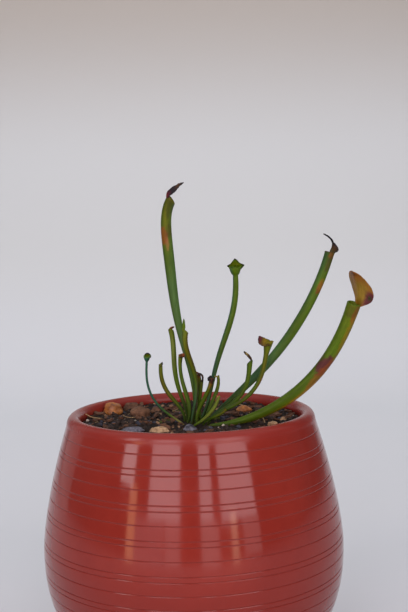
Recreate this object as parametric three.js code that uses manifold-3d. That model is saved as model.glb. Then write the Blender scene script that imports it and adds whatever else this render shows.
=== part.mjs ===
// A young purple pitcher plant growing in a ribbed, glazed pot.
// Millimetres, +Z up, the front is -Y. The origin is the centre of the pot's flat foot.
import * as THREE from "three";
import { mergeVertices } from "three/addons/utils/BufferGeometryUtils.js";
import Module from "manifold-3d";

const wasm = await Module();
wasm.setup();

// ---- driving dimensions ----
const POT_HEIGHT = 112;
const BELLY_RADIUS = 65; // the widest ring of the pot
const BELLY_HEIGHT = 55;
const RIM_RADIUS = 53.7; // outside, just under the rounded lip
const RIM_BASE = 108; // where the rounded lip starts
const FOOT_RADIUS = 40.5;
const FOOT_EDGE = 1.2; // the small bevel round the foot
const SHOULDER_POWER = 1.5; // how the wall draws in above the belly
const TUCK_POWER = 2.4; // how it draws in below
const WALL = 6.3;
const POT_FLOOR = 7;
const POT_SIDES = 28;

const GROOVE_TOP = 104.3; // the highest of the single grooves
const GROOVE_PITCH = 12.95;
const GROOVE_PAIR = [5.5, 7.7]; // each single groove has a pair this far under it
const GROOVE_DEPTH = 0.5;
const GROOVE_HALF_WIDTH = 0.45;
const LOWEST_GROOVE = 5;

const SOIL_LEVEL = 108;
const SOIL_RELIEF = 0.8;
const SOIL_RINGS = 6;
const CHIP_COUNT = 36; // bark chips and grit fused into the soil's surface
const CHIP_MARGIN = 3.4; // from the pot's wall to the middle of a chip
const CROWN_CLEAR = 14; // no chip lies nearer to the middle of the crown

const CLEARANCE = 0.3; // between pieces that touch
const SLIVER = 0.02; // what is thinner than this is merged away after a cut
const SKIN = 0.6; // wall of a pitcher's tube and thickness of a hood

const CROWN = { at: [3, -8, 102.6], size: [10.5, 10.5, 4] }; // half sizes of the rhizome
const PEG = 4.6; // how far a pitcher's base goes down from the soil's surface into the crown

// One row for each pitcher. at: where it leaves the crown; bearing: the compass bearing that it
// leans towards, counted from +X towards +Y, and swing: how far that turns on the way up; lean:
// degrees from upright at even steps from base to mouth; width: its width at even steps.
// The hood stands on the mouth's rim at the bearing called side. rise: how much higher the rim
// is there; half: its half widths, and bend: its lean over the mouth, at even steps to its tip;
// fold: how far each half closes over the mouth; droop: how far its side lobes hang back.
const PITCHERS = [
  { at: [1, -7.6], bearing: 145, swing: 10, lean: [-5, 10, 12, 5, -14], length: 94.5,
    width: [1.2, 2.7, 3.6, 4], flare: 1.08, side: 180, rise: 3,
    hood: { length: 10.4, half: [1.2, 2.2, 2.2, 1.5, 0.35], bend: [-14, 44, 58, 64], fold: 46, droop: 2 } },
  { at: [0.4, -11.2], bearing: 199, swing: 38, lean: [-3, -4, 24, -20], length: 40.5,
    width: [1.1, 1.6, 2.1, 2.15], flare: 1.12, side: 175, rise: 1.2,
    hood: { length: 5.6, half: [0.8, 0.9, 0.6, 0.3], bend: [0, 4, 12], fold: 20, droop: 0 } },
  { at: [-1.6, -5.6], bearing: 152, swing: -38, lean: [-9, 24, 3, 32], length: 40,
    width: [1.1, 1.3, 1.6, 1.9], flare: 1.1, side: 178, rise: 0.9,
    hood: { length: 3.6, half: [0.8, 0.9, 0.7, 0.4], bend: [10, 60, 70], fold: 25, droop: 0.4 } },
  { at: [-1.3, -9.3], bearing: 176, swing: -24, lean: [-24, 13, 12, -11], length: 29,
    width: [1, 1.7, 1.5, 1.8], flare: 1.1, side: 180, rise: 0.8,
    hood: { length: 3.6, half: [0.8, 1.3, 1.3, 1], bend: [0, 50, 84], fold: 22, droop: 0.6 } },
  { at: [-2.8, -3.4], bearing: 175, swing: 0, lean: [-8, 40, 23, -3], length: 26.5,
    width: [1, 1.3, 1.5, 1.4], flare: 1.04, side: 180, rise: 0.8,
    hood: { length: 2.8, half: [0.7, 0.8, 0.7, 0.4], bend: [10, 50, 66], fold: 25, droop: 0.3 } },
  { at: [-3.4, -10.6], bearing: 189, swing: 9, lean: [52, 46, 12, -3], length: 34,
    width: [0.9, 1.1, 1.1, 1.1], flare: 1.35, side: 80, rise: 0.7,
    hood: { length: 3, half: [0.6, 1.4, 1.3, 0.7], bend: [-10, 8, 30], fold: 14, droop: 0.5 } },
  { at: [4.2, -2], bearing: 53, swing: -23, lean: [52, 20, 27, 16, -1], length: 70,
    width: [1.2, 1.8, 2.1, 1.9], flare: 2.1, side: 78, rise: 1,
    hood: { length: 4.4, half: [1.8, 3, 3.6, 2, 0.35], bend: [22, 24, 26], fold: 8, droop: 0.9 } },
  { at: [2.6, -11], bearing: -13, swing: -25, lean: [-5, 30, 11], length: 21,
    width: [1.1, 1.6, 1.8, 1.85], flare: 1.08, side: -60, rise: 0.6,
    hood: { length: 2.4, half: [0.8, 1.3, 1.2, 0.6], bend: [10, 50, 80], fold: 10, droop: 0.6 } },
  { at: [5.8, -5], bearing: 55, swing: -13, lean: [35, 40, 30, -13], length: 21,
    width: [1, 1.3, 1.5, 1.2], flare: 1.04, side: 10, rise: 0.6,
    hood: { length: 2.4, half: [0.6, 0.6, 0.4], bend: [10, 70, 90], fold: 20, droop: 0.2 } },
  { at: [3.2, -5], bearing: 180, swing: 0, lean: [-2, -4, 10], length: 20,
    width: [1.1, 1.4, 1.7, 1.75], flare: 1.05, side: 5, rise: 0.6,
    hood: { length: 6, half: [0.7, 0.4, 0.35, 0.3], bend: [-4, 60, 140, 180], fold: 20, droop: 0 } },
  { at: [1.8, -13.6], bearing: -30, swing: 2, lean: [60, 45, 16], length: 17.5,
    width: [1, 1.25, 1.5, 1.25], flare: 1, side: 10, rise: 0.4,
    hood: { length: 1.9, half: [0.5, 0.5, 0.35], bend: [20, 50, 70], fold: 20, droop: 0 } },
  { at: [7.6, -6.6], bearing: 12, swing: 3, lean: [36, 60, 28, 6], length: 32,
    width: [1.1, 1.5, 1.7, 2.25], flare: 1.08, side: 0, rise: 1.8,
    hood: { length: 6.4, half: [0.9, 0.7, 0.6, 0.4], bend: [0, 34, 58, 60], fold: 30, droop: 0 } },
  { at: [7.8, -3], bearing: 35, swing: -7, lean: [56, 56, 46, 34, 20], length: 99.5,
    width: [1.2, 3.2, 3.9, 4.3], flare: 1.1, side: 50, rise: 0.8,
    hood: { length: 14, half: [1.9, 2.3, 0.9, 0.4, 0.3, 0.3], bend: [4, 8, 62, 82, 76, 70], fold: -34,
      droop: 1.2 } },
  { at: [7.4, -9.6], bearing: -17, swing: 24, lean: [33, 61, 25, 21], length: 43.5,
    width: [1, 1.4, 1.6, 2.7], flare: 1.2, side: 0, rise: 1.8,
    hood: { length: 6.4, half: [1.3, 2.6, 3, 2.1], bend: [40, 64, 84, 88], fold: 46, droop: 0.8 } },
  { at: [8.6, -14.8], bearing: -3, swing: -25, lean: [89, 67, 49, 32, 20], length: 84,
    width: [0.9, 3.9, 4.6, 5.2], flare: 1.06, side: 40, rise: 0.6,
    hood: { length: 16.5, half: [1.4, 3.4, 5.4, 4.8, 3.2, 1], bend: [14, 30, 46, 52], fold: -24,
      droop: 2 } },
  { at: [5.4, -12.4], bearing: -39, swing: 40, lean: [30, 68, 40], length: 12,
    width: [0.9, 1.1, 1.2, 1.15], flare: 1, side: -20, rise: 0.3,
    hood: { length: 1.6, half: [0.5, 0.5, 0.35], bend: [10, 40, 60], fold: 20, droop: 0 } },
  { at: [4.4, -8.2], bearing: 2, swing: 0, lean: [-14, 5, 7], length: 18,
    width: [1.1, 1.3, 1.45, 1.35], flare: 1.04, side: 0, rise: 0.6,
    hood: { length: 4.6, half: [0.6, 0.4, 0.35, 0.3], bend: [-6, 0, 40, 90], fold: 20, droop: 0 } },
];

// One row for each loose stone: its place, half sizes, turn about Z, roughness seed and finish.
const STONES = [
  { at: [-36, 23], size: [4.2, 4, 3.4], turn: 20, seed: 3, finish: "orange_stone" },
  { at: [-27.8, 32.2], size: [3.8, 2.8, 2.4], turn: -15, seed: 5, finish: "brown_stone" },
  { at: [-23.2, 13], size: [4.8, 4, 3.4], turn: 35, seed: 8, finish: "brown_stone" },
  { at: [-16.4, 21.5], size: [2.6, 2.2, 1.8], turn: 60, seed: 13, finish: "brown_stone" },
  { at: [23.5, 17], size: [3.6, 3, 2.4], turn: 25, seed: 21, finish: "orange_stone" },
  { at: [-0.4, -24], size: [2.8, 2.4, 2], turn: -30, seed: 34, finish: "grey_stone" },
  { at: [-24, -23.4], size: [4.8, 2.6, 1.6], turn: 8, seed: 55, finish: "grey_stone" },
  { at: [-12.6, -24.6], size: [3.8, 2.4, 1.6], turn: -6, seed: 89, finish: "tan_stone" },
  { at: [34.5, -16], size: [2.2, 1.6, 1.2], turn: 15, seed: 144, finish: "tan_stone" },
  { at: [39.4, -7], size: [1.6, 1.3, 1.1], turn: 40, seed: 233, finish: "tan_stone" },
];
const STONE_RISE = 0.1; // the share of a stone's half height that its middle lies over the soil

const COLOURS = {
  pot: { color: 0x8c2f22, roughness: 0.2, metalness: 0 },
  soil: { color: 0x2a1d16, roughness: 0.95, metalness: 0 },
  crown: { color: 0x5a4a2a, roughness: 0.7, metalness: 0 },
  pitcher: { color: 0x4f7328, roughness: 0.45, metalness: 0 },
  orange_stone: { color: 0x9a5a30, roughness: 0.8, metalness: 0 },
  brown_stone: { color: 0x6a4a36, roughness: 0.85, metalness: 0 },
  grey_stone: { color: 0x77757c, roughness: 0.85, metalness: 0 },
  tan_stone: { color: 0xa98a68, roughness: 0.85, metalness: 0 },
};

const radians = THREE.MathUtils.degToRad;
const clamp = THREE.MathUtils.clamp;

// ---- helpers for solids ----

// The same number from 0 to 1 for the same seed, well scattered.
function scatter(seed) {
  const wave = Math.sin(seed * 127.1 + 11.7) * 43758.5453;
  return wave - Math.floor(wave);
}

// A geometry with position alone, its shared vertices merged.
function weld(geometry) {
  const bare = geometry.clone();
  bare.deleteAttribute("normal");
  bare.deleteAttribute("uv");
  return mergeVertices(bare, 1e-3);
}

function toSolid(geometry) {
  const welded = weld(geometry);
  return new wasm.Manifold(
    new wasm.Mesh({
      numProp: 3,
      vertProperties: Float32Array.from(welded.attributes.position.array),
      triVerts: Uint32Array.from(welded.index.array),
    }),
  );
}

// The largest body of a solid, without slivers: what fusing sealed in is filled, and loose scraps
// are dropped.
function wholeBody(solid) {
  const bodies = solid.decompose();
  const largest = bodies.reduce((best, body) => (body.volume() > best.volume() ? body : best));
  return largest.simplify(SLIVER);
}

function toGeometry(solid) {
  const mesh = solid.getMesh();
  const geometry = new THREE.BufferGeometry();
  geometry.setAttribute("position", new THREE.BufferAttribute(mesh.vertProperties, 3));
  geometry.setIndex(new THREE.BufferAttribute(mesh.triVerts, 1));
  geometry.computeVertexNormals();
  return geometry;
}

// Moves each vertex of a geometry with a function that changes it in place.
function reshape(geometry, move) {
  const position = geometry.attributes.position;
  const vertex = new THREE.Vector3();
  for (let i = 0; i < position.count; i += 1) {
    vertex.fromBufferAttribute(position, i);
    move(vertex);
    position.setXYZ(i, vertex.x, vertex.y, vertex.z);
  }
  return geometry;
}

// Turns a profile of [radius, height] round the Z axis.
function lathe(profile, sides) {
  const points = profile.map(([radius, height]) => new THREE.Vector2(radius, height));
  return new THREE.LatheGeometry(points, sides).rotateX(Math.PI / 2);
}

function named(name, geometry, finish) {
  const mesh = new THREE.Mesh(geometry, new THREE.MeshStandardMaterial(COLOURS[finish]));
  mesh.name = name;
  return mesh;
}

// The smooth curve through values that stand at even steps from 0 to 1, read at t.
function along(values, t) {
  const last = values.length - 1;
  return values.reduce((sum, value, i) => {
    let weight = 1;
    for (let j = 0; j <= last; j += 1) {
      if (j !== i) weight *= (t * last - j) / (i - j);
    }
    return sum + value * weight;
  }, 0);
}

// Straight steps between values that stand at even steps from 0 to 1, read at t.
function between(values, t) {
  const place = clamp(t, 0, 1) * (values.length - 1);
  const step = Math.min(Math.floor(place), values.length - 2);
  return THREE.MathUtils.lerp(values[step], values[step + 1], place - step);
}

// ---- pot ----

function potRadius(z) {
  if (z >= BELLY_HEIGHT) {
    const rise = (z - BELLY_HEIGHT) / (RIM_BASE - BELLY_HEIGHT);
    return BELLY_RADIUS - (BELLY_RADIUS - RIM_RADIUS) * rise ** SHOULDER_POWER;
  }
  const drop = (BELLY_HEIGHT - z) / BELLY_HEIGHT;
  return BELLY_RADIUS - (BELLY_RADIUS - FOOT_RADIUS) * drop ** TUCK_POWER;
}

function grooveHeights() {
  const heights = [];
  for (let top = GROOVE_TOP; top > LOWEST_GROOVE; top -= GROOVE_PITCH) {
    heights.push(top, ...GROOVE_PAIR.map((drop) => top - drop));
  }
  return heights.filter((z) => z > LOWEST_GROOVE).sort((a, b) => a - b);
}

function potGeometry() {
  const outside = [[FOOT_RADIUS - FOOT_EDGE, 0], [potRadius(FOOT_EDGE), FOOT_EDGE]];
  for (const z of grooveHeights()) {
    outside.push([potRadius(z - GROOVE_HALF_WIDTH), z - GROOVE_HALF_WIDTH]);
    outside.push([potRadius(z) - GROOVE_DEPTH, z]);
    outside.push([potRadius(z + GROOVE_HALF_WIDTH), z + GROOVE_HALF_WIDTH]);
  }
  const lip = [];
  for (let i = 0; i <= 6; i += 1) {
    const turn = (Math.PI * i) / 6;
    lip.push([
      RIM_RADIUS - WALL / 2 + (WALL / 2) * Math.cos(turn),
      RIM_BASE + (POT_HEIGHT - RIM_BASE) * Math.sin(turn),
    ]);
  }
  const inside = insideHeights().map((z) => [potRadius(z) - WALL, z]);
  return lathe([[0, 0], ...outside, ...lip, ...inside, [0, POT_FLOOR]], POT_SIDES);
}

// Heights at which the inner wall has its rings, from the top down.
function insideHeights() {
  return [101, 92, 80, 66, 52, 38, 24, 14, POT_FLOOR];
}

// ---- growth of a pitcher ----

const CURVE_STEPS = 30;

// The middle line of a pitcher, from its peg in the crown up to its mouth.
function growthCurve(row) {
  const unit = row.length / CURVE_STEPS;
  const direction = (lean, bearing) =>
    new THREE.Vector3(
      Math.sin(lean) * Math.cos(bearing),
      Math.sin(lean) * Math.sin(bearing),
      Math.cos(lean),
    );
  const start = new THREE.Vector3(row.at[0], row.at[1], SOIL_LEVEL);
  const points = [start];
  const pegSteps = Math.max(2, Math.round(PEG / unit));
  for (let i = 0; i < pegSteps; i += 1) {
    const depth = (i + 0.5) / pegSteps;
    const lean = radians(row.lean[0]) * (1 - depth);
    const down = direction(lean, radians(row.bearing)).multiplyScalar(-PEG / pegSteps);
    points.unshift(points[0].clone().add(down));
  }
  for (let i = 0; i < CURVE_STEPS; i += 1) {
    const t = (i + 0.5) / CURVE_STEPS;
    const step = direction(radians(along(row.lean, t)), radians(row.bearing + row.swing * t));
    points.push(points[points.length - 1].clone().addScaledVector(step, unit));
  }
  const curve = new THREE.CatmullRomCurve3(points);
  const hoodWay = new THREE.Vector3(Math.cos(radians(row.side)), Math.sin(radians(row.side)), 0);
  // The place and the axes of the section that lies `height` above the soil along the stem.
  return (height) => {
    const index = height < 0
      ? pegSteps * (1 + height / PEG)
      : pegSteps + height / unit;
    const t = clamp(index / (points.length - 1), 0, 1);
    const up = curve.getTangent(t);
    const back = hoodWay.clone().addScaledVector(up, -hoodWay.dot(up)).normalize();
    const across = up.clone().cross(back);
    const middle = curve.getPoint(t).addScaledVector(up, Math.max(0, height - row.length));
    return { middle, up, back, across };
  };
}

function tubeRadius(row, height) {
  return along(row.width, clamp(height / row.length, 0, 1)) / 2;
}

const WING = 0.22; // height of the wing along the tube's inner side, as a share of its radius

// A straight trumpet, hollow at its mouth, bent along the growth curve.
function tubeGeometry(row, place) {
  const mouth = tubeRadius(row, row.length);
  const rings = Math.max(6, Math.round(row.length / 6));
  const profile = [[0, -PEG], [tubeRadius(row, 0) * 0.8, -PEG], [tubeRadius(row, 0), -PEG / 2]];
  for (let i = 0; i < rings; i += 1) {
    const height = (row.length * i) / rings;
    profile.push([tubeRadius(row, height), height]);
  }
  const bore = Math.max(0.3, mouth - SKIN);
  const lip = mouth * row.flare;
  profile.push(
    [lip, row.length],
    [(lip + bore) / 2, row.length + 0.12],
    [bore, row.length - mouth * 0.5],
    [bore * 0.8, row.length - mouth * 2],
    [0, row.length - mouth * 2.3],
  );
  // An odd count of sides puts an edge in the middle of the wing and a flat behind the hood.
  const sides = mouth > 1.4 ? 9 : 7;
  return reshape(lathe(profile, sides).rotateZ(-Math.PI / 2), (vertex) => {
    const radius = Math.hypot(vertex.x, vertex.y);
    const turn = Math.atan2(vertex.y, vertex.x);
    const share = vertex.z / row.length;
    const wing = WING * Math.sin(Math.PI * clamp((share - 0.08) / 0.86, 0, 1));
    const keel = radius * (1 + wing * Math.max(0, -Math.cos(turn)) ** 6);
    const nearMouth = clamp(1 - (row.length - vertex.z) / (mouth * 3), 0, 1) ** 2;
    const lifted = vertex.z + row.rise * nearMouth * (0.5 + 0.5 * Math.cos(turn));
    const { middle, back, across } = place(lifted);
    vertex.copy(middle)
      .addScaledVector(back, keel * Math.cos(turn))
      .addScaledVector(across, keel * Math.sin(turn));
  });
}

const HOOD_ROOT = 1; // how far down the mouth's wall the hood starts

// A thin blade that starts in the mouth's rim and leans over the mouth.
function hoodGeometry(row, place) {
  const { length, half, bend, fold, droop } = row.hood;
  const wide = Math.max(...half) > 1.5;
  const rows = length > 5 ? 7 : 5;
  const mouth = tubeRadius(row, row.length);
  const { middle, up, back, across } = place(row.length);
  const root = middle.clone()
    .addScaledVector(back, mouth * 0.93 - SKIN * 0.28)
    .addScaledVector(up, row.rise - HOOD_ROOT);
  const line = [root];
  for (let i = 0; i < rows; i += 1) {
    const lean = radians(between(bend, (i + 0.5) / rows));
    line.push(line[i].clone()
      .addScaledVector(up, (length / rows) * Math.cos(lean))
      .addScaledVector(back, (-length / rows) * Math.sin(lean)));
  }
  const blade = new THREE.BoxGeometry(2, SKIN, rows, wide ? 4 : 2, 1, rows);
  return reshape(blade, (vertex) => {
    const step = Math.round(vertex.z + rows / 2);
    const t = step / rows;
    const lean = radians(between(bend, t));
    const closed = radians(fold) * clamp(t * 2.5, 0, 1);
    const inward = up.clone().multiplyScalar(-Math.sin(lean)).addScaledVector(back, -Math.cos(lean));
    const onward = up.clone().multiplyScalar(Math.cos(lean)).addScaledVector(back, -Math.sin(lean));
    const reach = vertex.x * between(half, t);
    const thick = vertex.y / (vertex.x === 0 ? Math.cos(closed) : 1);
    const slope = vertex.x === 0 ? 0 : Math.sign(vertex.x) * Math.sin(closed);
    const flat = vertex.x === 0 ? 1 : Math.cos(closed);
    const lobe = droop * vertex.x ** 2 * Math.sin(Math.PI * clamp(t * 1.25, 0, 1));
    vertex.copy(line[step])
      .addScaledVector(across, reach * Math.cos(closed) - thick * slope)
      .addScaledVector(inward, Math.abs(reach) * Math.sin(closed) + thick * flat)
      .addScaledVector(onward, -lobe);
  });
}

function pitcherSolid(row) {
  const place = growthCurve(row);
  return wholeBody(toSolid(tubeGeometry(row, place)).add(toSolid(hoodGeometry(row, place))));
}

const SOCKET_REACH = 24; // how far along a stem its hole in the soil is cut
const SOCKET_SIDES = 6;

// The hole that a pitcher stands in: its lower stem, wider by the clearance all round.
function socketSolid(row) {
  const place = growthCurve(row);
  const reach = Math.min(SOCKET_REACH, row.length);
  const spread = 1 / Math.cos(Math.PI / SOCKET_SIDES);
  const heights = [-PEG - CLEARANCE, -PEG / 2, 0, reach / 4, reach / 2, reach];
  const girth = (height) => (tubeRadius(row, Math.max(0, height)) * (1 + WING * 0.5) + CLEARANCE) * spread;
  const profile = [[0, heights[0]], ...heights.map((z) => [girth(z), z]), [0, reach]];
  return toSolid(reshape(lathe(profile, SOCKET_SIDES), (vertex) => {
    const radius = Math.hypot(vertex.x, vertex.y);
    const turn = Math.atan2(vertex.y, vertex.x);
    const { middle, up, back, across } = place(vertex.z);
    const below = Math.max(0, -PEG - vertex.z);
    vertex.copy(middle)
      .addScaledVector(back, radius * Math.cos(turn))
      .addScaledVector(across, radius * Math.sin(turn))
      .addScaledVector(up, -below);
  }));
}

// ---- stones, crown and soil ----

function stoneGeometry(row, extra) {
  const stone = new THREE.IcosahedronGeometry(1, 1);
  reshape(stone, (vertex) => {
    const wobble = Math.sin(vertex.x * 5.1 + row.seed) + Math.sin(vertex.y * 4.3 + row.seed * 2);
    vertex.multiplyScalar(1 + 0.06 * (wobble + Math.sin(vertex.z * 6.7 + row.seed * 3)));
    vertex.set(
      vertex.x * (row.size[0] + extra),
      vertex.y * (row.size[1] + extra),
      vertex.z * (row.size[2] + extra),
    );
  });
  stone.rotateZ(radians(row.turn));
  return stone.translate(row.at[0], row.at[1], SOIL_LEVEL + row.size[2] * STONE_RISE);
}

function crownGeometry(extra) {
  const [x, y, z] = CROWN.size.map((half) => half + extra);
  return new THREE.SphereGeometry(1, 12, 7).rotateX(Math.PI / 2).scale(x, y, z).translate(...CROWN.at);
}

function soilRelief(x, y) {
  const broad = Math.sin(x * 0.21 + 1.3) * Math.cos(y * 0.17 - 0.4);
  const lumps = Math.sin(x * 0.83 + y * 0.31) * Math.sin(y * 0.71 - x * 0.22 + 2);
  return SOIL_RELIEF * (0.5 * broad + 0.5 * lumps - 0.3);
}

function soilBody() {
  const wall = potRadius(SOIL_LEVEL) - WALL - CLEARANCE;
  const profile = [[0, POT_FLOOR + CLEARANCE]];
  for (const z of insideHeights().reverse()) {
    profile.push([potRadius(z) - WALL - CLEARANCE, Math.max(z, POT_FLOOR + CLEARANCE)]);
  }
  for (let i = SOIL_RINGS; i > 0; i -= 1) {
    profile.push([(wall * i) / SOIL_RINGS, SOIL_LEVEL]);
  }
  profile.push([0, SOIL_LEVEL]);
  const body = lathe(profile, POT_SIDES);
  return toSolid(reshape(body, (vertex) => {
    if (vertex.z >= SOIL_LEVEL - 0.01) vertex.z += soilRelief(vertex.x, vertex.y);
  }));
}

// Bark chips and grit, scattered evenly by the golden angle and sunk into the surface.
function chipGeometry(index, x, y) {
  const size = 1.2 + 1.5 * scatter(index + 7);
  const chip = new THREE.BoxGeometry(size * 2, size * (0.9 + scatter(index + 90)), size * 1.1);
  chip.rotateX(radians(50 * (scatter(index + 20) - 0.5)));
  chip.rotateY(radians(50 * (scatter(index + 40) - 0.5)));
  chip.rotateZ(Math.PI * 2 * scatter(index + 60));
  return chip.translate(x, y, SOIL_LEVEL + soilRelief(x, y) + 0.1);
}

function soilSolid(sockets) {
  let soil = soilBody();
  const reach = potRadius(SOIL_LEVEL) - WALL - CHIP_MARGIN;
  for (let index = 0; index < CHIP_COUNT; index += 1) {
    const radius = reach * Math.sqrt((index + 0.5) / CHIP_COUNT);
    const turn = index * Math.PI * (3 - Math.sqrt(5));
    const x = radius * Math.cos(turn);
    const y = radius * Math.sin(turn);
    if (Math.hypot(x - CROWN.at[0], y - CROWN.at[1]) < CROWN_CLEAR) continue;
    soil = soil.add(toSolid(chipGeometry(index, x, y)));
  }
  soil = soil.subtract(toSolid(crownGeometry(CLEARANCE)));
  for (const row of STONES) soil = soil.subtract(toSolid(stoneGeometry(row, CLEARANCE)));
  for (const socket of sockets) soil = soil.subtract(socket);
  return wholeBody(soil);
}

// ---- the whole object ----

const twoDigits = (number) => String(number).padStart(2, "0");
const sockets = PITCHERS.map(socketSolid);

const plant = new THREE.Group();
const crown = sockets.reduce((solid, socket) => solid.subtract(socket), toSolid(crownGeometry(0)));
plant.add(named("rhizome", toGeometry(wholeBody(crown)), "crown"));
PITCHERS.forEach((row, i) => {
  plant.add(named(`pitcher_${twoDigits(i + 1)}`, toGeometry(pitcherSolid(row)), "pitcher"));
});

const stones = new THREE.Group();
STONES.forEach((row, i) => {
  stones.add(named(`stone_${twoDigits(i + 1)}`, weld(stoneGeometry(row, 0)), row.finish));
});

const pottedPlant = new THREE.Group();
pottedPlant.add(named("pot", potGeometry(), "pot"));
pottedPlant.add(named("soil", toGeometry(soilSolid(sockets)), "soil"));
pottedPlant.add(plant, stones);

export default pottedPlant;
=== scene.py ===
# %% [markdown]
# # A young purple pitcher plant in a ribbed, glazed pot
# The CAD model brings every piece at its real size and place. This lesson dresses it: a thrown pot
# with a glossy glaze, a bed of peat with bark and grit, and seventeen hollow leaves with hoods.
# All lengths are in millimetres until a piece is finished, because Blender's tools work best on
# shapes near one unit in size. A finished piece is then shrunk to metres.

# %% Load the frame
import math
import random

import bmesh
import bpy
import numpy as np
from mathutils import Matrix, Vector, noise


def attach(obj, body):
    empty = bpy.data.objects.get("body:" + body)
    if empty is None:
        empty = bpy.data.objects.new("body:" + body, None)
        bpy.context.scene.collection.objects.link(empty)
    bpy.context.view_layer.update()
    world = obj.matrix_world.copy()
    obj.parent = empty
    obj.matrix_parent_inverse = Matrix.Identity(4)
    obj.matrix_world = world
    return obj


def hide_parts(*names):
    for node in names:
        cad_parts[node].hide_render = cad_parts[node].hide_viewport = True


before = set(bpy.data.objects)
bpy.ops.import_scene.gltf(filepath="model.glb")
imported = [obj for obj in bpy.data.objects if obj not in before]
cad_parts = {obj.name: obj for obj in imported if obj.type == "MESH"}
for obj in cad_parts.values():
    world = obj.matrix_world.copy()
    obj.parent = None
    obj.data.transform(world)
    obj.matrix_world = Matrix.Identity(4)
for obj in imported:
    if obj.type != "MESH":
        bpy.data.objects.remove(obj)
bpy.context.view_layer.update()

MM = 0.001  # one millimetre, in Blender's metres

# %% [markdown]
# ## The camera
# The camera stands a little above the rim and looks down by a few degrees, so the soil shows as a
# narrow ellipse. It is rolled slightly. A long lens keeps the pot's sides from spreading.

# %% Place the camera
CAMERA_AT = (6.75, -435.3, 188.7)
CAMERA_DOWN = 4.14  # degrees
CAMERA_ROLL = 1.34
LENS = 59.54
FILM = 36  # mm along the long side of the picture

camera = bpy.data.objects.new("camera", bpy.data.cameras.new("camera"))
bpy.context.scene.collection.objects.link(camera)
camera.data.sensor_width = FILM
camera.data.lens = LENS
camera.data.clip_start = 0.01
camera.matrix_world = (
    Matrix.Translation(Vector(CAMERA_AT) * MM)
    @ Matrix.Rotation(math.radians(90 - CAMERA_DOWN), 4, "X")
    @ Matrix.Rotation(math.radians(-CAMERA_ROLL), 4, "Z")
)
bpy.context.scene.camera = camera
bpy.context.scene.view_settings.view_transform = "Standard"
print("camera", round(camera.location.length / MM), "mm from the origin")

# %% [markdown]
# ## Light
# The sky is a soft dome: bright overhead and dim near the horizon, so that the glaze has something
# dark to mirror between its highlights. In front of the pot stand tall panes, as of a window. A
# glaze shows what it mirrors, and bright upright panes show how round and how ribbed the pot is.
# Each pane is set by its bearing from the pot's axis, so its mirror image can be placed. One more
# lamp washes the backdrop and stays out of every mirror image. Where the camera looks past the
# paper, it sees an even grey in place of the dome.

# %% Set the sky
SKY = (0.94, 0.95, 1.0)
SKY_LOW = 0.15  # strength near the horizon
SKY_HIGH = 0.72  # strength overhead
SKY_TURNS = (0.34, 0.8)  # between these steepnesses it goes from one to the other
SKY_SEEN = 0.62  # strength where the camera looks past the paper


def connect(tree, value, socket):
    """Gives a socket a plain value or the output of another node."""
    if isinstance(value, bpy.types.NodeSocket):
        tree.links.new(value, socket)
    else:
        socket.default_value = value


def new_node(tree, kind, **inputs):
    node = tree.nodes.new("ShaderNode" + kind)
    for name, value in inputs.items():
        connect(tree, value, node.inputs[name.replace("_", " ")])
    return node


def ranged(tree, value, start, end, low=0.0, high=1.0, smooth=False):
    """Carries a value that goes from start to end over to low to high, and holds it beyond."""
    node = new_node(tree, "MapRange", Value=value, From_Min=start, From_Max=end, To_Min=low,
                    To_Max=high)
    if smooth:
        node.interpolation_type = "SMOOTHSTEP"
    return node.outputs["Result"]


world = bpy.data.worlds.new("soft_sky")
world.use_nodes = True
dome = world.node_tree
background = dome.nodes["Background"]
background.inputs["Color"].default_value = (*SKY, 1)
way = new_node(dome, "TexCoord").outputs["Generated"]
height = new_node(dome, "SeparateXYZ", Vector=way).outputs["Z"]
strength = ranged(dome, height, *SKY_TURNS, SKY_LOW, SKY_HIGH)
seen = new_node(dome, "LightPath").outputs["Is Camera Ray"]
chosen = new_node(dome, "Mix", Factor=seen, A=strength, B=SKY_SEEN).outputs["Result"]
connect(dome, chosen, background.inputs["Strength"])
bpy.context.scene.world = world

# %% Hang the window panes
PANE_DISTANCE = 1100
PANE_BASE = 85  # the height that the elevations are counted from

# name: bearing from, to (0 is straight in front, + is to the right), elevation from, to,
# brightness and colour
PANES = {
    "pane_far_left": (-59, -47, 12.5, 34, 5.4, (1, 0.9, 0.92)),
    "pane_left": (-33.5, -9, 8, 34, 4.4, (1, 0.84, 0.88)),
    "pane_left_dim": (-43, -21, -5, 8, 1.3, (1, 0.8, 0.86)),
    "pane_left_low": (-20, -9, -5, 8, 1.9, (1, 0.8, 0.82)),
    "pane_middle": (6, 15.5, 8, 34, 4.2, (1, 0.84, 0.88)),
    "pane_middle_low": (6, 19, -7, 8, 2.1, (1, 0.8, 0.8)),
    "pane_right": (21.5, 49, 7, 34, 4.2, (1, 0.82, 0.86)),
    "pane_right_low": (37, 50, -3, 7, 1.6, (1, 0.78, 0.78)),
    "frame_left": (-49, -43, -14, 13, 5.4, (1, 0.52, 0.28)),
    "frame_right": (28, 32.5, -10, 9, 5.0, (1, 0.66, 0.44)),
    "window_beside": (-138, -111, -12, 40, 0.4, (1, 0.9, 0.93)),
}
WASH = (1500, 500, 2.7, (0.985, 1, 1))  # width, height, brightness, colour
WASH_AT = (0, 380, 1350)
WASH_TILT = 52  # degrees


def area_lamp(name, width, height, brightness, colour):
    """A lamp whose surface has the given brightness, whatever its size in millimetres."""
    light = bpy.data.lights.new(name, "AREA")
    light.shape = "RECTANGLE"
    light.size = width * MM
    light.size_y = height * MM
    light.color = colour
    light.energy = brightness * math.pi * light.size * light.size_y
    lamp = bpy.data.objects.new(name, light)
    bpy.context.scene.collection.objects.link(lamp)
    lamp.visible_camera = False
    return lamp


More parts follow.
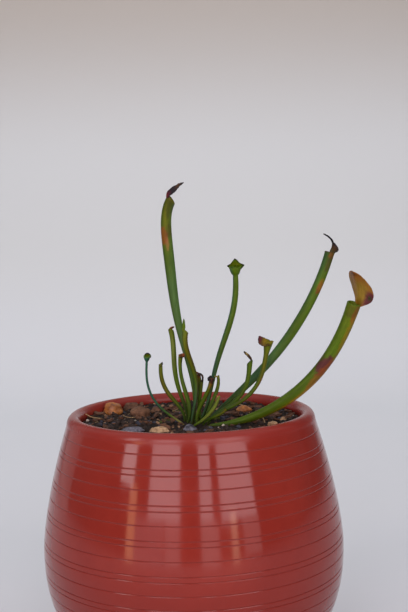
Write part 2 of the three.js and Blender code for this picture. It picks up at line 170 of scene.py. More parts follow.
def window_pane(name, start, end, low, high, brightness, colour):
    width = 2 * PANE_DISTANCE * math.tan(math.radians(end - start) / 2)
    bottom = PANE_BASE + PANE_DISTANCE * math.tan(math.radians(low))
    top = PANE_BASE + PANE_DISTANCE * math.tan(math.radians(high))
    lamp = area_lamp(name, width, top - bottom, brightness, colour)
    turn = math.radians((start + end) / 2)
    lamp.location = Vector((math.sin(turn), -math.cos(turn), 0)) * PANE_DISTANCE * MM
    lamp.location.z = (bottom + top) / 2 * MM
    lamp.rotation_euler = (math.radians(90), 0, turn)


for name, row in PANES.items():
    window_pane(name, *row)

wash = area_lamp("backdrop_wash", *WASH)
wash.location = Vector(WASH_AT) * MM
wash.rotation_euler = (math.radians(WASH_TILT), 0, 0)
wash.visible_glossy = False
print(len(PANES), "panes and one wash")

# %% [markdown]
# ## Helpers for modelling
# The tools act on all that is selected, so every step starts from an empty selection. Parts of a
# mesh are selected by a test on their place, as a hand would pick them by eye.

# %% Helpers for objects and selections
def start_fresh():
    if bpy.context.object and bpy.context.object.mode != "OBJECT":
        bpy.ops.object.mode_set(mode="OBJECT")
    bpy.ops.object.select_all(action="DESELECT")


def take(piece):
    start_fresh()
    piece.select_set(True)
    bpy.context.view_layer.objects.active = piece


def newest(name):
    piece = bpy.context.object
    piece.name = name
    piece.data.name = name
    return piece


def pick_edges(test):
    """Selects the edges of the mesh in edit mode that pass the test."""
    bpy.ops.mesh.select_mode(type="EDGE")
    bpy.ops.mesh.select_all(action="DESELECT")
    mesh = bmesh.from_edit_mesh(bpy.context.object.data)
    for edge in mesh.edges:
        if test(edge):
            edge.select_set(True)
    mesh.select_flush_mode()
    bmesh.update_edit_mesh(bpy.context.object.data)


def copy_of(model):
    copy = bpy.data.objects.new(model.name, model.data.copy())
    bpy.context.scene.collection.objects.link(copy)
    return copy


def join(first, *others):
    start_fresh()
    for piece in (first, *others):
        piece.select_set(True)
    bpy.context.view_layer.objects.active = first
    bpy.ops.object.join()


def points_of(piece):
    flat = np.empty(len(piece.data.vertices) * 3)
    piece.data.vertices.foreach_get("co", flat)
    return flat.reshape(-1, 3)


def move_points(piece, places):
    piece.data.vertices.foreach_set("co", np.asarray(places, float).ravel())
    piece.data.update()


def paint(piece, name, values):
    """Keeps one number, place or colour for each vertex, for the material to read."""
    values = np.asarray(values, float)
    kinds = {1: ("FLOAT", "value"), 3: ("FLOAT_VECTOR", "vector"), 4: ("FLOAT_COLOR", "color")}
    kind, field = kinds[1 if values.ndim == 1 else values.shape[1]]
    layer = piece.data.attributes.get(name) or piece.data.attributes.new(name, kind, "POINT")
    layer.data.foreach_set(field, values.ravel())


def finish(piece, material, nodes=(), smooth=True):
    """Shrinks a piece to metres, gives it its finish and ties it to the frame."""
    take(piece)
    piece.data.transform(Matrix.Scale(MM, 4))
    if smooth:
        bpy.ops.object.shade_smooth()
    piece.data.materials.clear()
    piece.data.materials.append(material)
    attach(piece, "root")
    if nodes:
        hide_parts(*nodes)
    piece.select_set(False)


def roughness_at(places, frequency, seed=0.0, detail=3):
    """Fractal noise from about -1 to 1 at each place."""
    shift = Vector((seed, seed * 1.7, -seed))
    return np.array([noise.fractal(Vector(place) + shift, 0.6, 2.1, detail)
                     for place in np.asarray(places) * frequency])


def smoothstep(low, high, value):
    share = np.clip((np.asarray(value, float) - low) / (high - low), 0, 1)
    return share * share * (3 - 2 * share)


def srgb(*channels):
    """A colour from 0 to 255 a channel, as the plain amounts of light that shaders use."""
    share = np.array(channels) / 255
    return tuple(np.where(share <= 0.04045, share / 12.92, ((share + 0.055) / 1.055) ** 2.4))


# %% [markdown]
# ## Helpers for materials
# Nearly every surface here is mottled: its colour wanders between two or three tones, and its
# height with it. One node group does that for all of them. The shader itself stays in each
# material, where its roughness and its other plain numbers are set.

# %% Small helpers for node trees
def calculate(tree, operation, *values):
    node = tree.nodes.new("ShaderNodeMath")
    node.operation = operation
    for value, socket in zip(values, node.inputs):
        connect(tree, value, socket)
    return node.outputs[0]


def blend_to(tree, factor, above, below):
    """Mixes one colour over another, by a factor that varies over the surface."""
    mix = tree.nodes.new("ShaderNodeMix")
    mix.data_type = "RGBA"
    connect(tree, factor, mix.inputs["Factor"])
    connect(tree, below, mix.inputs["A"])
    connect(tree, (*above, 1) if isinstance(above, tuple) else above, mix.inputs["B"])
    return mix.outputs["Result"]


def place_in(tree):
    return new_node(tree, "TexCoord").outputs["Object"]


def attribute(tree, name, output="Fac"):
    node = new_node(tree, "Attribute")
    node.attribute_name = name
    return node.outputs[output]


def bump_from(tree, shader, height, strength, distance):
    bump = new_node(tree, "Bump", Height=height, Strength=strength, Distance=distance)
    connect(tree, bump.outputs["Normal"], shader.inputs["Normal"])


def bare_material(name):
    material = bpy.data.materials.new(name)
    material.use_nodes = True
    tree = material.node_tree
    return material, tree, tree.nodes["Principled BSDF"]


# %% The mottling group
SPECKS_FINER = 7.0  # how much finer the specks are than the clouds
SPECK_EDGES = (0.56, 0.68)


def mottling_group():
    group = bpy.data.node_groups.new("mottling", "ShaderNodeTree")
    for name, kind in (("Place", "Vector"), ("Dark", "Color"), ("Light", "Color"),
                       ("Scale", "Float"), ("Contrast", "Float"), ("Specks", "Float")):
        group.interface.new_socket(name, in_out="INPUT", socket_type="NodeSocket" + kind)
    group.interface.new_socket("Color", in_out="OUTPUT", socket_type="NodeSocketColor")
    group.interface.new_socket("Height", in_out="OUTPUT", socket_type="NodeSocketFloat")
    given = group.nodes.new("NodeGroupInput").outputs
    result = group.nodes.new("NodeGroupOutput").inputs

    cloud = new_node(group, "TexNoise", Vector=given["Place"], Scale=given["Scale"], Detail=6.0,
                     Roughness=0.62).outputs["Fac"]
    low = calculate(group, "SUBTRACT", 0.5, given["Contrast"])
    high = calculate(group, "ADD", 0.5, given["Contrast"])
    tone = blend_to(group, ranged(group, cloud, low, high), given["Light"], given["Dark"])

    finer = calculate(group, "MULTIPLY", given["Scale"], SPECKS_FINER)
    dots = new_node(group, "TexNoise", Vector=given["Place"], Scale=finer, Detail=2.0)
    dots = ranged(group, dots.outputs["Fac"], *SPECK_EDGES)
    amount = calculate(group, "MULTIPLY", dots, given["Specks"])
    connect(group, blend_to(group, amount, given["Dark"], tone), result["Color"])
    connect(group, cloud, result["Height"])
    return group


MOTTLING = mottling_group()


def mottled(tree, dark, light, scale, contrast=0.2, specks=0.0):
    """Places the mottling group in a material, on Object coordinates."""
    group = tree.nodes.new("ShaderNodeGroup")
    group.node_tree = MOTTLING
    for name, value in (("Place", place_in(tree)), ("Dark", (*dark, 1)), ("Light", (*light, 1)),
                        ("Scale", scale), ("Contrast", contrast), ("Specks", specks)):
        connect(tree, value, group.inputs[name])
    return group.outputs


print("group", MOTTLING.name, "with", len(MOTTLING.nodes), "nodes")

# %% A material that uses it
EARTH_RELIEF = 0.6 * MM


def earthy(name, dark, light, scale, rough_low, rough_high, relief, contrast=0.2, specks=0.0,
           specular=0.5, leaning=0.0):
    """A mineral or bark finish: mottled colour, uneven gloss and a fine relief.

    With leaning, each bit of a joined piece goes to the light tone as far as its own tone says."""
    material, tree, shader = bare_material(name)
    surface = mottled(tree, dark, light, scale, contrast, specks)
    colour = surface["Color"]
    if leaning:
        own = calculate(tree, "MULTIPLY", attribute(tree, "tone"), leaning)
        colour = blend_to(tree, own, light, colour)
    connect(tree, colour, shader.inputs["Base Color"])
    gloss = ranged(tree, surface["Height"], 0.3, 0.7, rough_low, rough_high)
    connect(tree, gloss, shader.inputs["Roughness"])
    shader.inputs["Specular IOR Level"].default_value = specular
    bump_from(tree, shader, surface["Height"], relief, EARTH_RELIEF)
    return material


# %% [markdown]
# ## The floor
# A pale sheet of studio paper lies under the pot and curves up behind it, so no edge shows. It is
# made from one flat strip: its far edge is extruded up in steps round a quarter circle, as a sheet
# bends. It is a stage, and not a part of the object.

# %% Make the paper sweep
PAPER_WIDTH = 5200
PAPER_FRONT = -2600
PAPER_BEND_FROM = 620
PAPER_BEND_RADIUS = 520
PAPER_HEIGHT = 2300
BEND_STEPS = 14
PAPER_LOW = (srgb(218, 222, 227), srgb(221, 224, 228))
# painted shade: between these heights the paper turns to this darker, warmer tone
PAPER_SHADE_BANDS = ((10, 190, srgb(211, 214, 215)), (280, 600, srgb(184, 177, 169)))
PAPER_SIDE = srgb(120, 118, 118)  # far out to the sides, behind, where it lies in shade
SIDE_TURNS = (380 * MM, 800 * MM)  # where that shade begins, and where it is full


def paper_sweep():
    start_fresh()
    bpy.ops.mesh.primitive_plane_add(size=2)
    sheet = newest("studio_paper")
    corners = points_of(sheet)
    corners[:, 0] *= PAPER_WIDTH / 2
    corners[:, 1] = np.where(corners[:, 1] < 0, PAPER_FRONT, PAPER_BEND_FROM)
    move_points(sheet, corners)
    bpy.ops.object.mode_set(mode="EDIT")
    pick_edges(lambda edge: all(v.co.y > PAPER_BEND_FROM - 1 for v in edge.verts))
    for step in range(BEND_STEPS):
        turns = [math.radians(90) * (step + k) / BEND_STEPS for k in (0, 1)]
        y, z = ([PAPER_BEND_RADIUS * f(t) for t in turns]
                for f in (math.sin, lambda t: 1 - math.cos(t)))
        bpy.ops.mesh.extrude_region_move(
            TRANSFORM_OT_translate={"value": (0, y[1] - y[0], z[1] - z[0])})
    bpy.ops.mesh.extrude_region_move(
        TRANSFORM_OT_translate={"value": (0, 0, PAPER_HEIGHT - PAPER_BEND_RADIUS)})
    bpy.ops.object.mode_set(mode="OBJECT")
    bpy.ops.object.shade_smooth()
    return sheet


def paper_material():
    """Pale grey paper with painted shade: darker and warmer towards the top, and darker far out
    behind.
    """
    material, tree, shader = bare_material("studio_paper")
    shade = mottled(tree, *PAPER_LOW, 2.4)["Color"]
    place = new_node(tree, "SeparateXYZ", Vector=place_in(tree)).outputs
    # painted shade: the paper darkens and warms towards the top
    for bottom, top, tone in PAPER_SHADE_BANDS:
        rise = ranged(tree, place["Z"], bottom * MM, top * MM, smooth=True)
        shade = blend_to(tree, rise, tone, shade)
    aside = ranged(tree, calculate(tree, "ABSOLUTE", place["X"]), *SIDE_TURNS, smooth=True)
    corner = calculate(tree, "MULTIPLY", aside, ranged(tree, place["Y"], *SIDE_TURNS))
    connect(tree, blend_to(tree, corner, PAPER_SIDE, shade), shader.inputs["Base Color"])
    shader.inputs["Roughness"].default_value = 0.9
    shader.inputs["Specular IOR Level"].default_value = 0.1
    return material


paper = paper_sweep()
paper.data.transform(Matrix.Scale(MM, 4))
paper.data.materials.append(paper_material())
print("paper with", len(paper.data.polygons), "faces")

# %% [markdown]
# ## The pot
# A pot like this is thrown on a wheel, and Blender's spin is such a wheel: one profile, drawn as a
# chain of points, is turned round the axis. The grooves are part of the profile, so they catch the
# light like real ones. No two bands between the grooves slope quite alike, which breaks up what
# the glaze mirrors, as on a wheel-thrown wall.

# %% The pot's sizes and profile
POT_HEIGHT = 112
BELLY_RADIUS = 65
BELLY_HEIGHT = 55
RIM_RADIUS = 53.7
RIM_BASE = 108
FOOT_RADIUS = 40.5
FOOT_EDGE = 1.2
SHOULDER_POWER = 1.5
TUCK_POWER = 2.4
WALL = 6.3
POT_FLOOR = 7
GROOVE_TOP = 104.3
GROOVE_PITCH = 12.95
GROOVE_PAIR = (5.5, 7.7)
GROOVE_DEPTH = 0.21
GROOVE_HALF_WIDTH = 0.27
GROOVE_POINTS = (-0.45, 0, 0.45)  # where its hollow is drawn, as shares of the half width
GROOVE_CURVE = 1.6  # how fast it gets shallower to its sides
LOWEST_GROOVE = 5
POT_STEPS = 144  # steps of the spin
BAND_BULGE = 0.003  # how far a band stands out in its middle
BAND_TILT = 0.012  # how much its slope differs from its neighbours'
BAND_STEP = 1.3
EDGE_KEEP = 0.07  # a close ring at each edge keeps the wall between them plain
LIP_STEPS = 16
LIP_GAP = 0.3  # between the last band and the rounded lip
LIP_THINS = (RIM_BASE - 1.5, RIM_BASE + 1)  # between these heights the glaze thins on the lip
INSIDE_STEPS = 24


def pot_radius(z):
    if z >= BELLY_HEIGHT:
        rise = (z - BELLY_HEIGHT) / (RIM_BASE - BELLY_HEIGHT)
        return BELLY_RADIUS - (BELLY_RADIUS - RIM_RADIUS) * rise ** SHOULDER_POWER
    drop = (BELLY_HEIGHT - z) / BELLY_HEIGHT
    return BELLY_RADIUS - (BELLY_RADIUS - FOOT_RADIUS) * drop ** TUCK_POWER


def groove_heights():
    heights = []
    top = GROOVE_TOP
    while top > LOWEST_GROOVE:
        heights += [top] + [top - drop for drop in GROOVE_PAIR]
        top -= GROOVE_PITCH
    return sorted(z for z in heights if z > LOWEST_GROOVE)


def band_profile(low, high, number):
    """The points of one band of the wall between two grooves, from low to high."""
    chance = random.Random(number)
    tilt = BAND_TILT * (chance.random() - 0.5)
    steps = max(2, round((high - low) / BAND_STEP))
    shares = [i / steps for i in range(steps + 1)]
    edge = EDGE_KEEP / (high - low)
    shares = sorted(shares + [edge, 1 - edge])
    points = []
    for share in shares:
        z = low + (high - low) * share
        bulge = BAND_BULGE * 4 * share * (1 - share)
        points.append((pot_radius(z) + bulge + tilt * (share - 0.5), z))
    return points


def pot_profile():
    points = [(0, 0), (FOOT_RADIUS - FOOT_EDGE, 0)]
    low = FOOT_EDGE
    for number, z in enumerate(groove_heights()):
        points += band_profile(low, z - GROOVE_HALF_WIDTH, number)
        for share in GROOVE_POINTS:
            depth = GROOVE_DEPTH * (1 - abs(share) ** 2 * GROOVE_CURVE)
            points.append((pot_radius(z) - depth, z + share * GROOVE_HALF_WIDTH))
        low = z + GROOVE_HALF_WIDTH
    points += band_profile(low, RIM_BASE - LIP_GAP, 99)
    for i in range(LIP_STEPS + 1):
        turn = math.pi * i / LIP_STEPS
        points.append((RIM_RADIUS - WALL / 2 + WALL / 2 * math.cos(turn),
                       RIM_BASE + (POT_HEIGHT - RIM_BASE) * math.sin(turn)))
    for i in range(1, INSIDE_STEPS + 1):
        z = RIM_BASE - (RIM_BASE - POT_FLOOR) * i / INSIDE_STEPS
        points.append((pot_radius(z) - WALL, z))
    return points + [(0, POT_FLOOR)]


# %% Throw the pot
def spin_profile(name, points, steps):
    """Lays a ring of points along a profile of (radius, height) and spins it round the Z axis."""
    start_fresh()
    bpy.ops.mesh.primitive_circle_add(vertices=len(points), radius=1)
    piece = newest(name)
    move_points(piece, [(radius, 0, height) for radius, height in points])
    bpy.ops.object.mode_set(mode="EDIT")
    pick_edges(lambda edge: all(abs(v.co.x) < 1e-6 for v in edge.verts))
    bpy.ops.mesh.delete(type="EDGE")
    bpy.ops.mesh.select_all(action="SELECT")
    bpy.ops.mesh.spin(steps=steps, angle=math.radians(360), center=(0, 0, 0), axis=(0, 0, 1))
    bpy.ops.mesh.select_all(action="SELECT")
    bpy.ops.mesh.remove_doubles(threshold=0.002)
    bpy.ops.mesh.normals_make_consistent(inside=False)
    bpy.ops.object.mode_set(mode="OBJECT")
    return piece


pot = spin_profile("pot_body", pot_profile(), POT_STEPS)
heights = points_of(pot)[:, 2]
outward = np.hypot(*points_of(pot)[:, :2].T)
grooves = np.array(groove_heights())
nearest = np.abs(heights[:, None] - grooves[None, :]).min(axis=1)
outer_wall = outward > np.array([pot_radius(min(z, RIM_BASE)) for z in heights]) - WALL / 2
paint(pot, "groove", np.clip(1 - nearest / GROOVE_HALF_WIDTH, 0, 1) * outer_wall)
paint(pot, "lip", smoothstep(*LIP_THINS, heights))
print("pot with", len(pot.data.polygons), "faces and", len(grooves), "grooves")

# %% [markdown]
# ## The glaze
# The glaze is a deep brick red. It pools and darkens in the grooves, thins to a warmer and duller
# red on the lip, and carries very fine turning marks. Its gloss varies a little, as on a pot that
# has been handled.

# %% Mix the glaze
GLAZE = (srgb(121, 34, 25), srgb(134, 42, 31))
GLAZE_POOL = srgb(100, 28, 22)
GLAZE_LIP = srgb(130, 41, 33)
GLAZE_PAINTED_SHADE = srgb(116, 30, 21)  # painted shade: the glaze is darker towards the pot's foot
GLAZE_SHADE_HEIGHTS = (62 * MM, 26 * MM)  # heights from which and down to which the painted shade deepens
LIP_DULLER = 0.14
TURNING_MARKS = (12, 12, 1500)  # how often they repeat in a metre


def glaze_material():
    material, tree, shader = bare_material("red_glaze")
    surface = mottled(tree, *GLAZE, 26, 0.22, 0.25)
    colour = surface["Color"]
    for name, share, tone in (("groove", 0.55, GLAZE_POOL), ("lip", 0.8, GLAZE_LIP)):
        colour = blend_to(tree, calculate(tree, "MULTIPLY", attribute(tree, name), share), tone,
                          colour)
    height = new_node(tree, "SeparateXYZ", Vector=place_in(tree)).outputs["Z"]
    # painted shade: the glaze is darker towards the pot's foot
    colour = blend_to(tree, ranged(tree, height, *GLAZE_SHADE_HEIGHTS), GLAZE_PAINTED_SHADE, colour)
    connect(tree, colour, shader.inputs["Base Color"])

    gloss = ranged(tree, surface["Height"], 0.35, 0.65, 0.07, 0.15)
    dull = calculate(tree, "MULTIPLY_ADD", attribute(tree, "lip"), LIP_DULLER, gloss)
    connect(tree, dull, shader.inputs["Roughness"])
    shader.inputs["IOR"].default_value = 1.4

    stretch = new_node(tree, "Mapping", Vector=place_in(tree), Scale=TURNING_MARKS)
    turning = new_node(tree, "TexNoise", Vector=stretch.outputs["Vector"], Scale=1.0, Detail=3.0)
    bump_from(tree, shader, turning.outputs["Fac"], 0.12, 0.05 * MM)
    return material


finish(pot, glaze_material(), ["pot"])
print("glaze on", pot.name)

# %% [markdown]
# ## How a pitcher leaf grows
# Each leaf is a tube rolled from one blade. It starts thin, leans and turns on its way up, widens
# to a mouth, and carries a hood on one side of the mouth. Each leaf has a row of sizes: the lean
# from upright at even steps along the leaf, its bearing and swing, its widths, and its hood. Its
# solid in the CAD model grew from such a row too, and the two rows are the same but for a few finer
# widths, leans and hoods. Bending a straight model along that line keeps every leaf within a
# millimetre or two of its solid.

# %% The rows of the leaves
LEAVES = {
    # name: foot, bearing, swing, leans, length, widths, flare, hood's bearing, rise of the rim,
    # hood: (length, half widths, bends, fold, droop)
    "pitcher_01": ((1, -7.6), 145, 10, (-13, 12, 15, 7, 5, -30), 95.8, (1.2, 2.35, 3.95, 4.35),
                   1.03, 180, 1.9,
                   (10.7, (1.2, 2.2, 2.2, 1.5, 0.35), (-34, 18, 36, 48), 60, 1.2)),
    "pitcher_02": ((0.4, -11.2), 199, 38, (-3, -4, 24, -20), 40.5, (1.1, 1.6, 2.2, 2.45), 1.12, 175,
                   1.2, (5.6, (1.1, 1.4, 1, 0.15), (-10, -4, 4), 66, 0)),
    "pitcher_03": ((-1.6, -5.6), 152, -38, (-9, 24, 3, 32), 40, (1.1, 1.6, 2, 2.2), 1.05, 178, 0.9,
                   (4, (0.9, 1, 0.9, 0.4), (-10, 60, 110), 40, 0.2)),
    "pitcher_04": ((-1.3, -9.3), 176, -24, (-24, 13, 12, -11), 29, (1, 1.7, 1.5, 1.8), 1.1, 180, 0.8,
                   (3.8, (0.9, 1.6, 1.9, 1.5), (6, 60, 88), 62, 0.2)),
    "pitcher_05": ((-2.8, -3.4), 175, 0, (-8, 40, 23, -3), 26.5, (1, 1.5, 1.7, 1.7), 1, 180, 0.8,
                   (2.5, (0.8, 1.2, 1.1, 0.6), (0, 40, 60), 62, 0.2)),
    "pitcher_06": ((-3.4, -10.6), 189, 9, (50, 44, 11, -4), 35.2, (0.9, 1, 1, 1), 1.35, 80, 0.7,
                   (2.1, (1.4, 1.5, 1.3, 0.6), (-10, 20, 50), 10, 0.2)),
    "pitcher_07": ((4.2, -2), 53, -23, (54, 20, 27, 15, -2), 70, (1.2, 2.1, 2.7, 2.2), 2.1, 78, 1,
                   (4.9, (1.8, 3, 3.6, 2, 0.35), (22, 24, 26), 8, 0.25)),
    "pitcher_08": ((2.6, -11), -13, -25, (-5, 30, 11), 21, (1.1, 1.6, 1.8, 1.85), 1.08, -60, 0.6,
                   (2.8, (1.2, 1.9, 1.9, 1.2), (10, 60, 90), 40, 0.3)),
    "pitcher_09": ((5.8, -5), 55, -13, (35, 40, 30, -13), 21, (1, 1.3, 1.5, 1.2), 1.04, 10, 0.6,
                   (2.4, (0.6, 0.6, 0.4), (10, 70, 90), 20, 0.2)),
    "pitcher_10": ((3.2, -5), 180, 0, (-2, -4, 10), 20, (1.1, 1.4, 1.7, 1.75), 1.05, 5, 0.6,
                   (6, (0.9, 0.8, 0.7, 0.5), (-4, 60, 140, 180), 56, 0)),
    "pitcher_11": ((1.8, -13.6), -30, 2, (60, 45, 16), 17.5, (1, 1.25, 1.5, 1.25), 1, 10, 0.4,
                   (1.9, (0.5, 0.5, 0.35), (20, 50, 70), 20, 0)),
    "pitcher_12": ((7.6, -6.6), 12, 3, (36, 60, 28, 6), 32, (1.1, 1.5, 1.7, 2.25), 1.08, 0, 1.8,
                   (6.5, (0.9, 0.9, 1.1, 1, 0.5), (0, 30, 56, 64), 66, 0)),
    "pitcher_13": ((7.8, -3), 35, -7, (56, 56, 46, 34, 20), 99.5, (1.3, 3.7, 4.4, 4.4), 1.04, 50, 0.8,
                   (15.4, (1.9, 2.3, 0.9, 0.4, 0.3, 0.3), (4, 8, 62, 84, 88, 88), -34, 1.2)),
    "pitcher_14": ((7.4, -9.6), -17, 24, (33, 61, 25, 16), 44.6, (1, 1.4, 1.7, 2.2), 1.2, 0, 2.2,
                   (6.6, (1.3, 2.6, 3, 2.1), (48, 76, 84, 92), 60, 0.3)),
    "pitcher_15": ((8.6, -14.8), -3, -25, (89, 67, 49, 32, 20), 84, (1.1, 4.3, 5.1, 5.6), 1.04, 40,
                   0.6, (17.2, (1.4, 3.4, 5.4, 4.8, 3.2, 1), (14, 30, 46, 48), -24, 1.6)),
    "pitcher_16": ((5.4, -12.4), -39, 40, (30, 68, 40), 12, (0.9, 1.1, 1.2, 1.15), 1, -20, 0.3,
                   (1.6, (0.5, 0.5, 0.35), (10, 40, 60), 20, 0)),
    "pitcher_17": ((4.4, -8.2), 2, 0, (-14, 5, 7), 18, (1.1, 1.3, 1.45, 1.35), 1.04, 0, 0.6,
                   (4.6, (0.8, 0.7, 0.7, 0.5), (-6, 0, 40, 90), 56, 0)),
}
FIELDS = ("foot", "bearing", "swing", "leans", "length", "widths", "flare", "side", "rise", "hood")
LEAVES = {name: dict(zip(FIELDS, row)) for name, row in LEAVES.items()}

# %% The growth line
SOIL_LEVEL = 108
PEG = 4.6  # how far a leaf's base goes down into the crown
PEG_STEPS = 18
SKIN = 0.6
WING = 0.22  # height of the wing along a tube's inner side, as a share of its radius
LINE_STEP = 0.25


def along(values, t):
    """The one smooth curve through values at even steps from 0 to 1, as the CAD part draws it."""
    last = len(values) - 1
    total = np.zeros_like(np.asarray(t, float))
    for i, value in enumerate(values):
        weight = np.ones_like(total)
        for j in range(last + 1):
            if j != i:
                weight = weight * (t * last - j) / (i - j)
        total = total + value * weight
    return total


def flowing(values, t):
    """A supple line through values at even steps from 0 to 1. It doesn't overshoot much."""
    values = np.asarray(values, float)
    padded = np.concatenate([[2 * values[0] - values[1]], values, [2 * values[-1] - values[-2]]])
    place = np.clip(t, 0, 1) * (len(values) - 1)
    i = np.minimum(place.astype(int), len(values) - 2)
    f = place - i
    a, b, c, d = (padded[i + k] for k in range(4))
    return b + 0.5 * f * (c - a + f * (2 * a - 5 * b + 4 * c - d + f * (3 * (b - c) + d - a)))


def heading(lean, bearing):
    return np.stack([np.sin(lean) * np.cos(bearing), np.sin(lean) * np.sin(bearing),
                     np.cos(lean)], axis=-1)


def unit(vectors):
    return vectors / np.linalg.norm(vectors, axis=-1, keepdims=True)


def growth(leaf):
    """Returns a function that gives the place and the axes of the leaf's section at a height."""
    length = leaf["length"]
    steps = round(length / LINE_STEP)
    t = (np.arange(steps) + 0.5) / steps
    leans = np.radians(along(leaf["leans"], t))
    upward = heading(leans, np.radians(leaf["bearing"] + leaf["swing"] * t)) * length / steps
    depth = (np.arange(PEG_STEPS)[::-1] + 0.5) / PEG_STEPS
    buried = heading(np.radians(leaf["leans"][0]) * (1 - depth),
                     np.full(PEG_STEPS, math.radians(leaf["bearing"]))) * PEG / PEG_STEPS
    moves = np.vstack([buried, upward])
    line = np.vstack([np.zeros(3), np.cumsum(moves, axis=0)])
    line += np.array([*leaf["foot"], SOIL_LEVEL]) - line[PEG_STEPS]
    heights = np.concatenate([np.linspace(-PEG, 0, PEG_STEPS + 1),
                              np.linspace(0, length, steps + 1)[1:]])
    ways = unit(moves)
    ways = unit(np.vstack([ways[:1], ways[1:] + ways[:-1], ways[-1:]]))
    side = math.radians(leaf["side"])
    hood_way = np.array([math.cos(side), math.sin(side), 0])

    def section(height):
        middle = np.stack([np.interp(height, heights, line[:, k]) for k in range(3)], axis=-1)
        up = unit(np.stack([np.interp(height, heights, ways[:, k]) for k in range(3)], axis=-1))
        back = unit(hood_way - up * (up @ hood_way)[..., None])
        across = np.cross(up, back)
        over = np.maximum(0, np.asarray(height) - length)
        return middle + up * over[..., None], up, back, across

    return section


def tube_radius(leaf, height):
    return along(leaf["widths"], np.clip(height / leaf["length"], 0, 1)) / 2


print(len(LEAVES), "leaves,", round(sum(leaf["length"] for leaf in LEAVES.values())), "mm in all")

# %% [markdown]
# ## The soil
# The mix is dark peat with bark, grit and a few pale grains. Its body fills the pot, so it is spun
# from the pot's own inner profile. Only its top shows: a fine web of rings there is lifted and
# sunk by noise, broad for the lie of the soil and fine for its crumb. Round each stem the surface
# dips a little, as it does where a shoot has pushed up.

# %% The stones that will lie in the soil
STONES = {
    # name: place, half sizes, turn about Z, seed, finish
    "stone_01": ((-36, 23), (4.4, 4, 3.8), 20, 3, "orange_stone"),
    "stone_02": ((-27.8, 32.2), (3.8, 2.8, 2.4), -15, 5, "brown_stone"),
    "stone_03": ((-23.2, 13), (4.9, 4, 3.8), 35, 8, "brown_stone"),
    "stone_04": ((-16.4, 21.5), (2.6, 2.2, 1.8), 60, 13, "brown_stone"),
    "stone_05": ((23.5, 17), (3.6, 3, 2.4), 25, 21, "orange_stone"),
    "stone_06": ((-0.4, -24), (2.8, 2.4, 2), -30, 34, "grey_stone"),
    "stone_07": ((-24, -23.4), (4.8, 2.6, 1.6), 8, 55, "grey_stone"),
    "stone_08": ((-12.6, -24.6), (3.8, 2.4, 1.6), -6, 89, "tan_stone"),
    "stone_09": ((34.5, -16), (2.2, 1.6, 1.2), 15, 144, "tan_stone"),
    "stone_10": ((39.4, -7), (1.6, 1.3, 1.1), 40, 233, "tan_stone"),
}

# %% The lie of the soil
SOIL_RELIEF = 0.8
CLEARANCE = 0.3
SOIL_RINGS = 92
SOIL_STEPS = 210
CRUMB_RELIEF = 0.8
INNER_HEIGHTS = (7.3, 14, 24, 38, 52, 66, 80, 92, 101)
FOOT_REACH = 24  # how far up a leaf its foot is looked at


def soil_relief(x, y):
    """The broad waves that the soil's solid has too."""
    broad = math.sin(x * 0.21 + 1.3) * math.cos(y * 0.17 - 0.4)
    lumps = math.sin(x * 0.83 + y * 0.31) * math.sin(y * 0.71 - x * 0.22 + 2)
    return SOIL_RELIEF * (0.5 * broad + 0.5 * lumps - 0.3)


def foot_points():
    """Points along each leaf near the soil: x, y, height of the middle line, radius."""
    rows = []
    for leaf in LEAVES.values():
        heights = np.arange(0, min(FOOT_REACH, leaf["length"]), 0.5)
        middle, *_ = growth(leaf)(heights)
        rows.append(np.column_stack([middle, tube_radius(leaf, heights)]))
    points = np.vstack(rows)
    return points[points[:, 2] - points[:, 3] < SOIL_LEVEL + 2]


FOOT_POINTS = foot_points()
STEM_SLOPE = 1.2  # how steeply the soil rises beside a stem
STEM_GAP = 0.1
STONE_DIP = 2.0  # how deep the soil dips under a stone
STONE_DIP_ENDS = (1.0, 1.8)  # from the stone's edge to this many times its size
CRUMB_SCALE = 0.42


def soil_heights(x, y):
    """The height of the soil at each place: its relief, less the dips at stones and stems."""
    crumb = roughness_at(np.column_stack([x, y, np.zeros_like(x)]), CRUMB_SCALE, 4.0, 5)
    heights = SOIL_LEVEL + np.array([soil_relief(*at) for at in zip(x, y)]) + CRUMB_RELIEF * crumb
    for (at_x, at_y), size, *_ in STONES.values():
        far = np.hypot((x - at_x) / size[0], (y - at_y) / size[1])
        heights -= STONE_DIP * (1 - smoothstep(*STONE_DIP_ENDS, far))
    for at_x, at_y, level, radius in FOOT_POINTS:
        far = np.maximum(0, np.hypot(x - at_x, y - at_y) - radius)
        heights = np.minimum(heights, level - radius - STEM_GAP + STEM_SLOPE * far)
    return heights


# %% Fill the pot
soil_wall = pot_radius(SOIL_LEVEL) - WALL - CLEARANCE
soil_points = [(0, INNER_HEIGHTS[0])]
soil_points += [(pot_radius(z) - WALL - CLEARANCE, z) for z in INNER_HEIGHTS]
soil_points += [(soil_wall * i / SOIL_RINGS, SOIL_LEVEL) for i in range(SOIL_RINGS, -1, -1)]
soil = spin_profile("soil_bed", soil_points, SOIL_STEPS)
places = points_of(soil)
on_top = places[:, 2] > SOIL_LEVEL - 0.01
places[on_top, 2] = soil_heights(places[on_top, 0], places[on_top, 1])
move_points(soil, places)
peat = earthy("dark_peat", srgb(15, 12, 10), srgb(46, 34, 27), 420, 0.62, 1.0, 0.9, 0.16, 0.6, 0.25)
finish(soil, peat, ["soil"])
print("soil with", len(soil.data.polygons), "faces")

# %% [markdown]
# ## Bark, grit and crumbs
# Hundreds of small bits lie on the peat. Four kinds are modelled: a crumb, a flake of bark, a
# grain of grit and a straw, each a simple shape of a few dozen faces. The rest are copies, turned,
# sized and strewn by a seeded draw, so every run strews them alike. They keep clear of the stones.
# Green crumbs, set close together, make the few cushions of moss.

# %% Model one bit of each kind
LUMP_RELIEF = 0.34
STRAW_BEND = (0.22, 0.1)  # sideways and upward


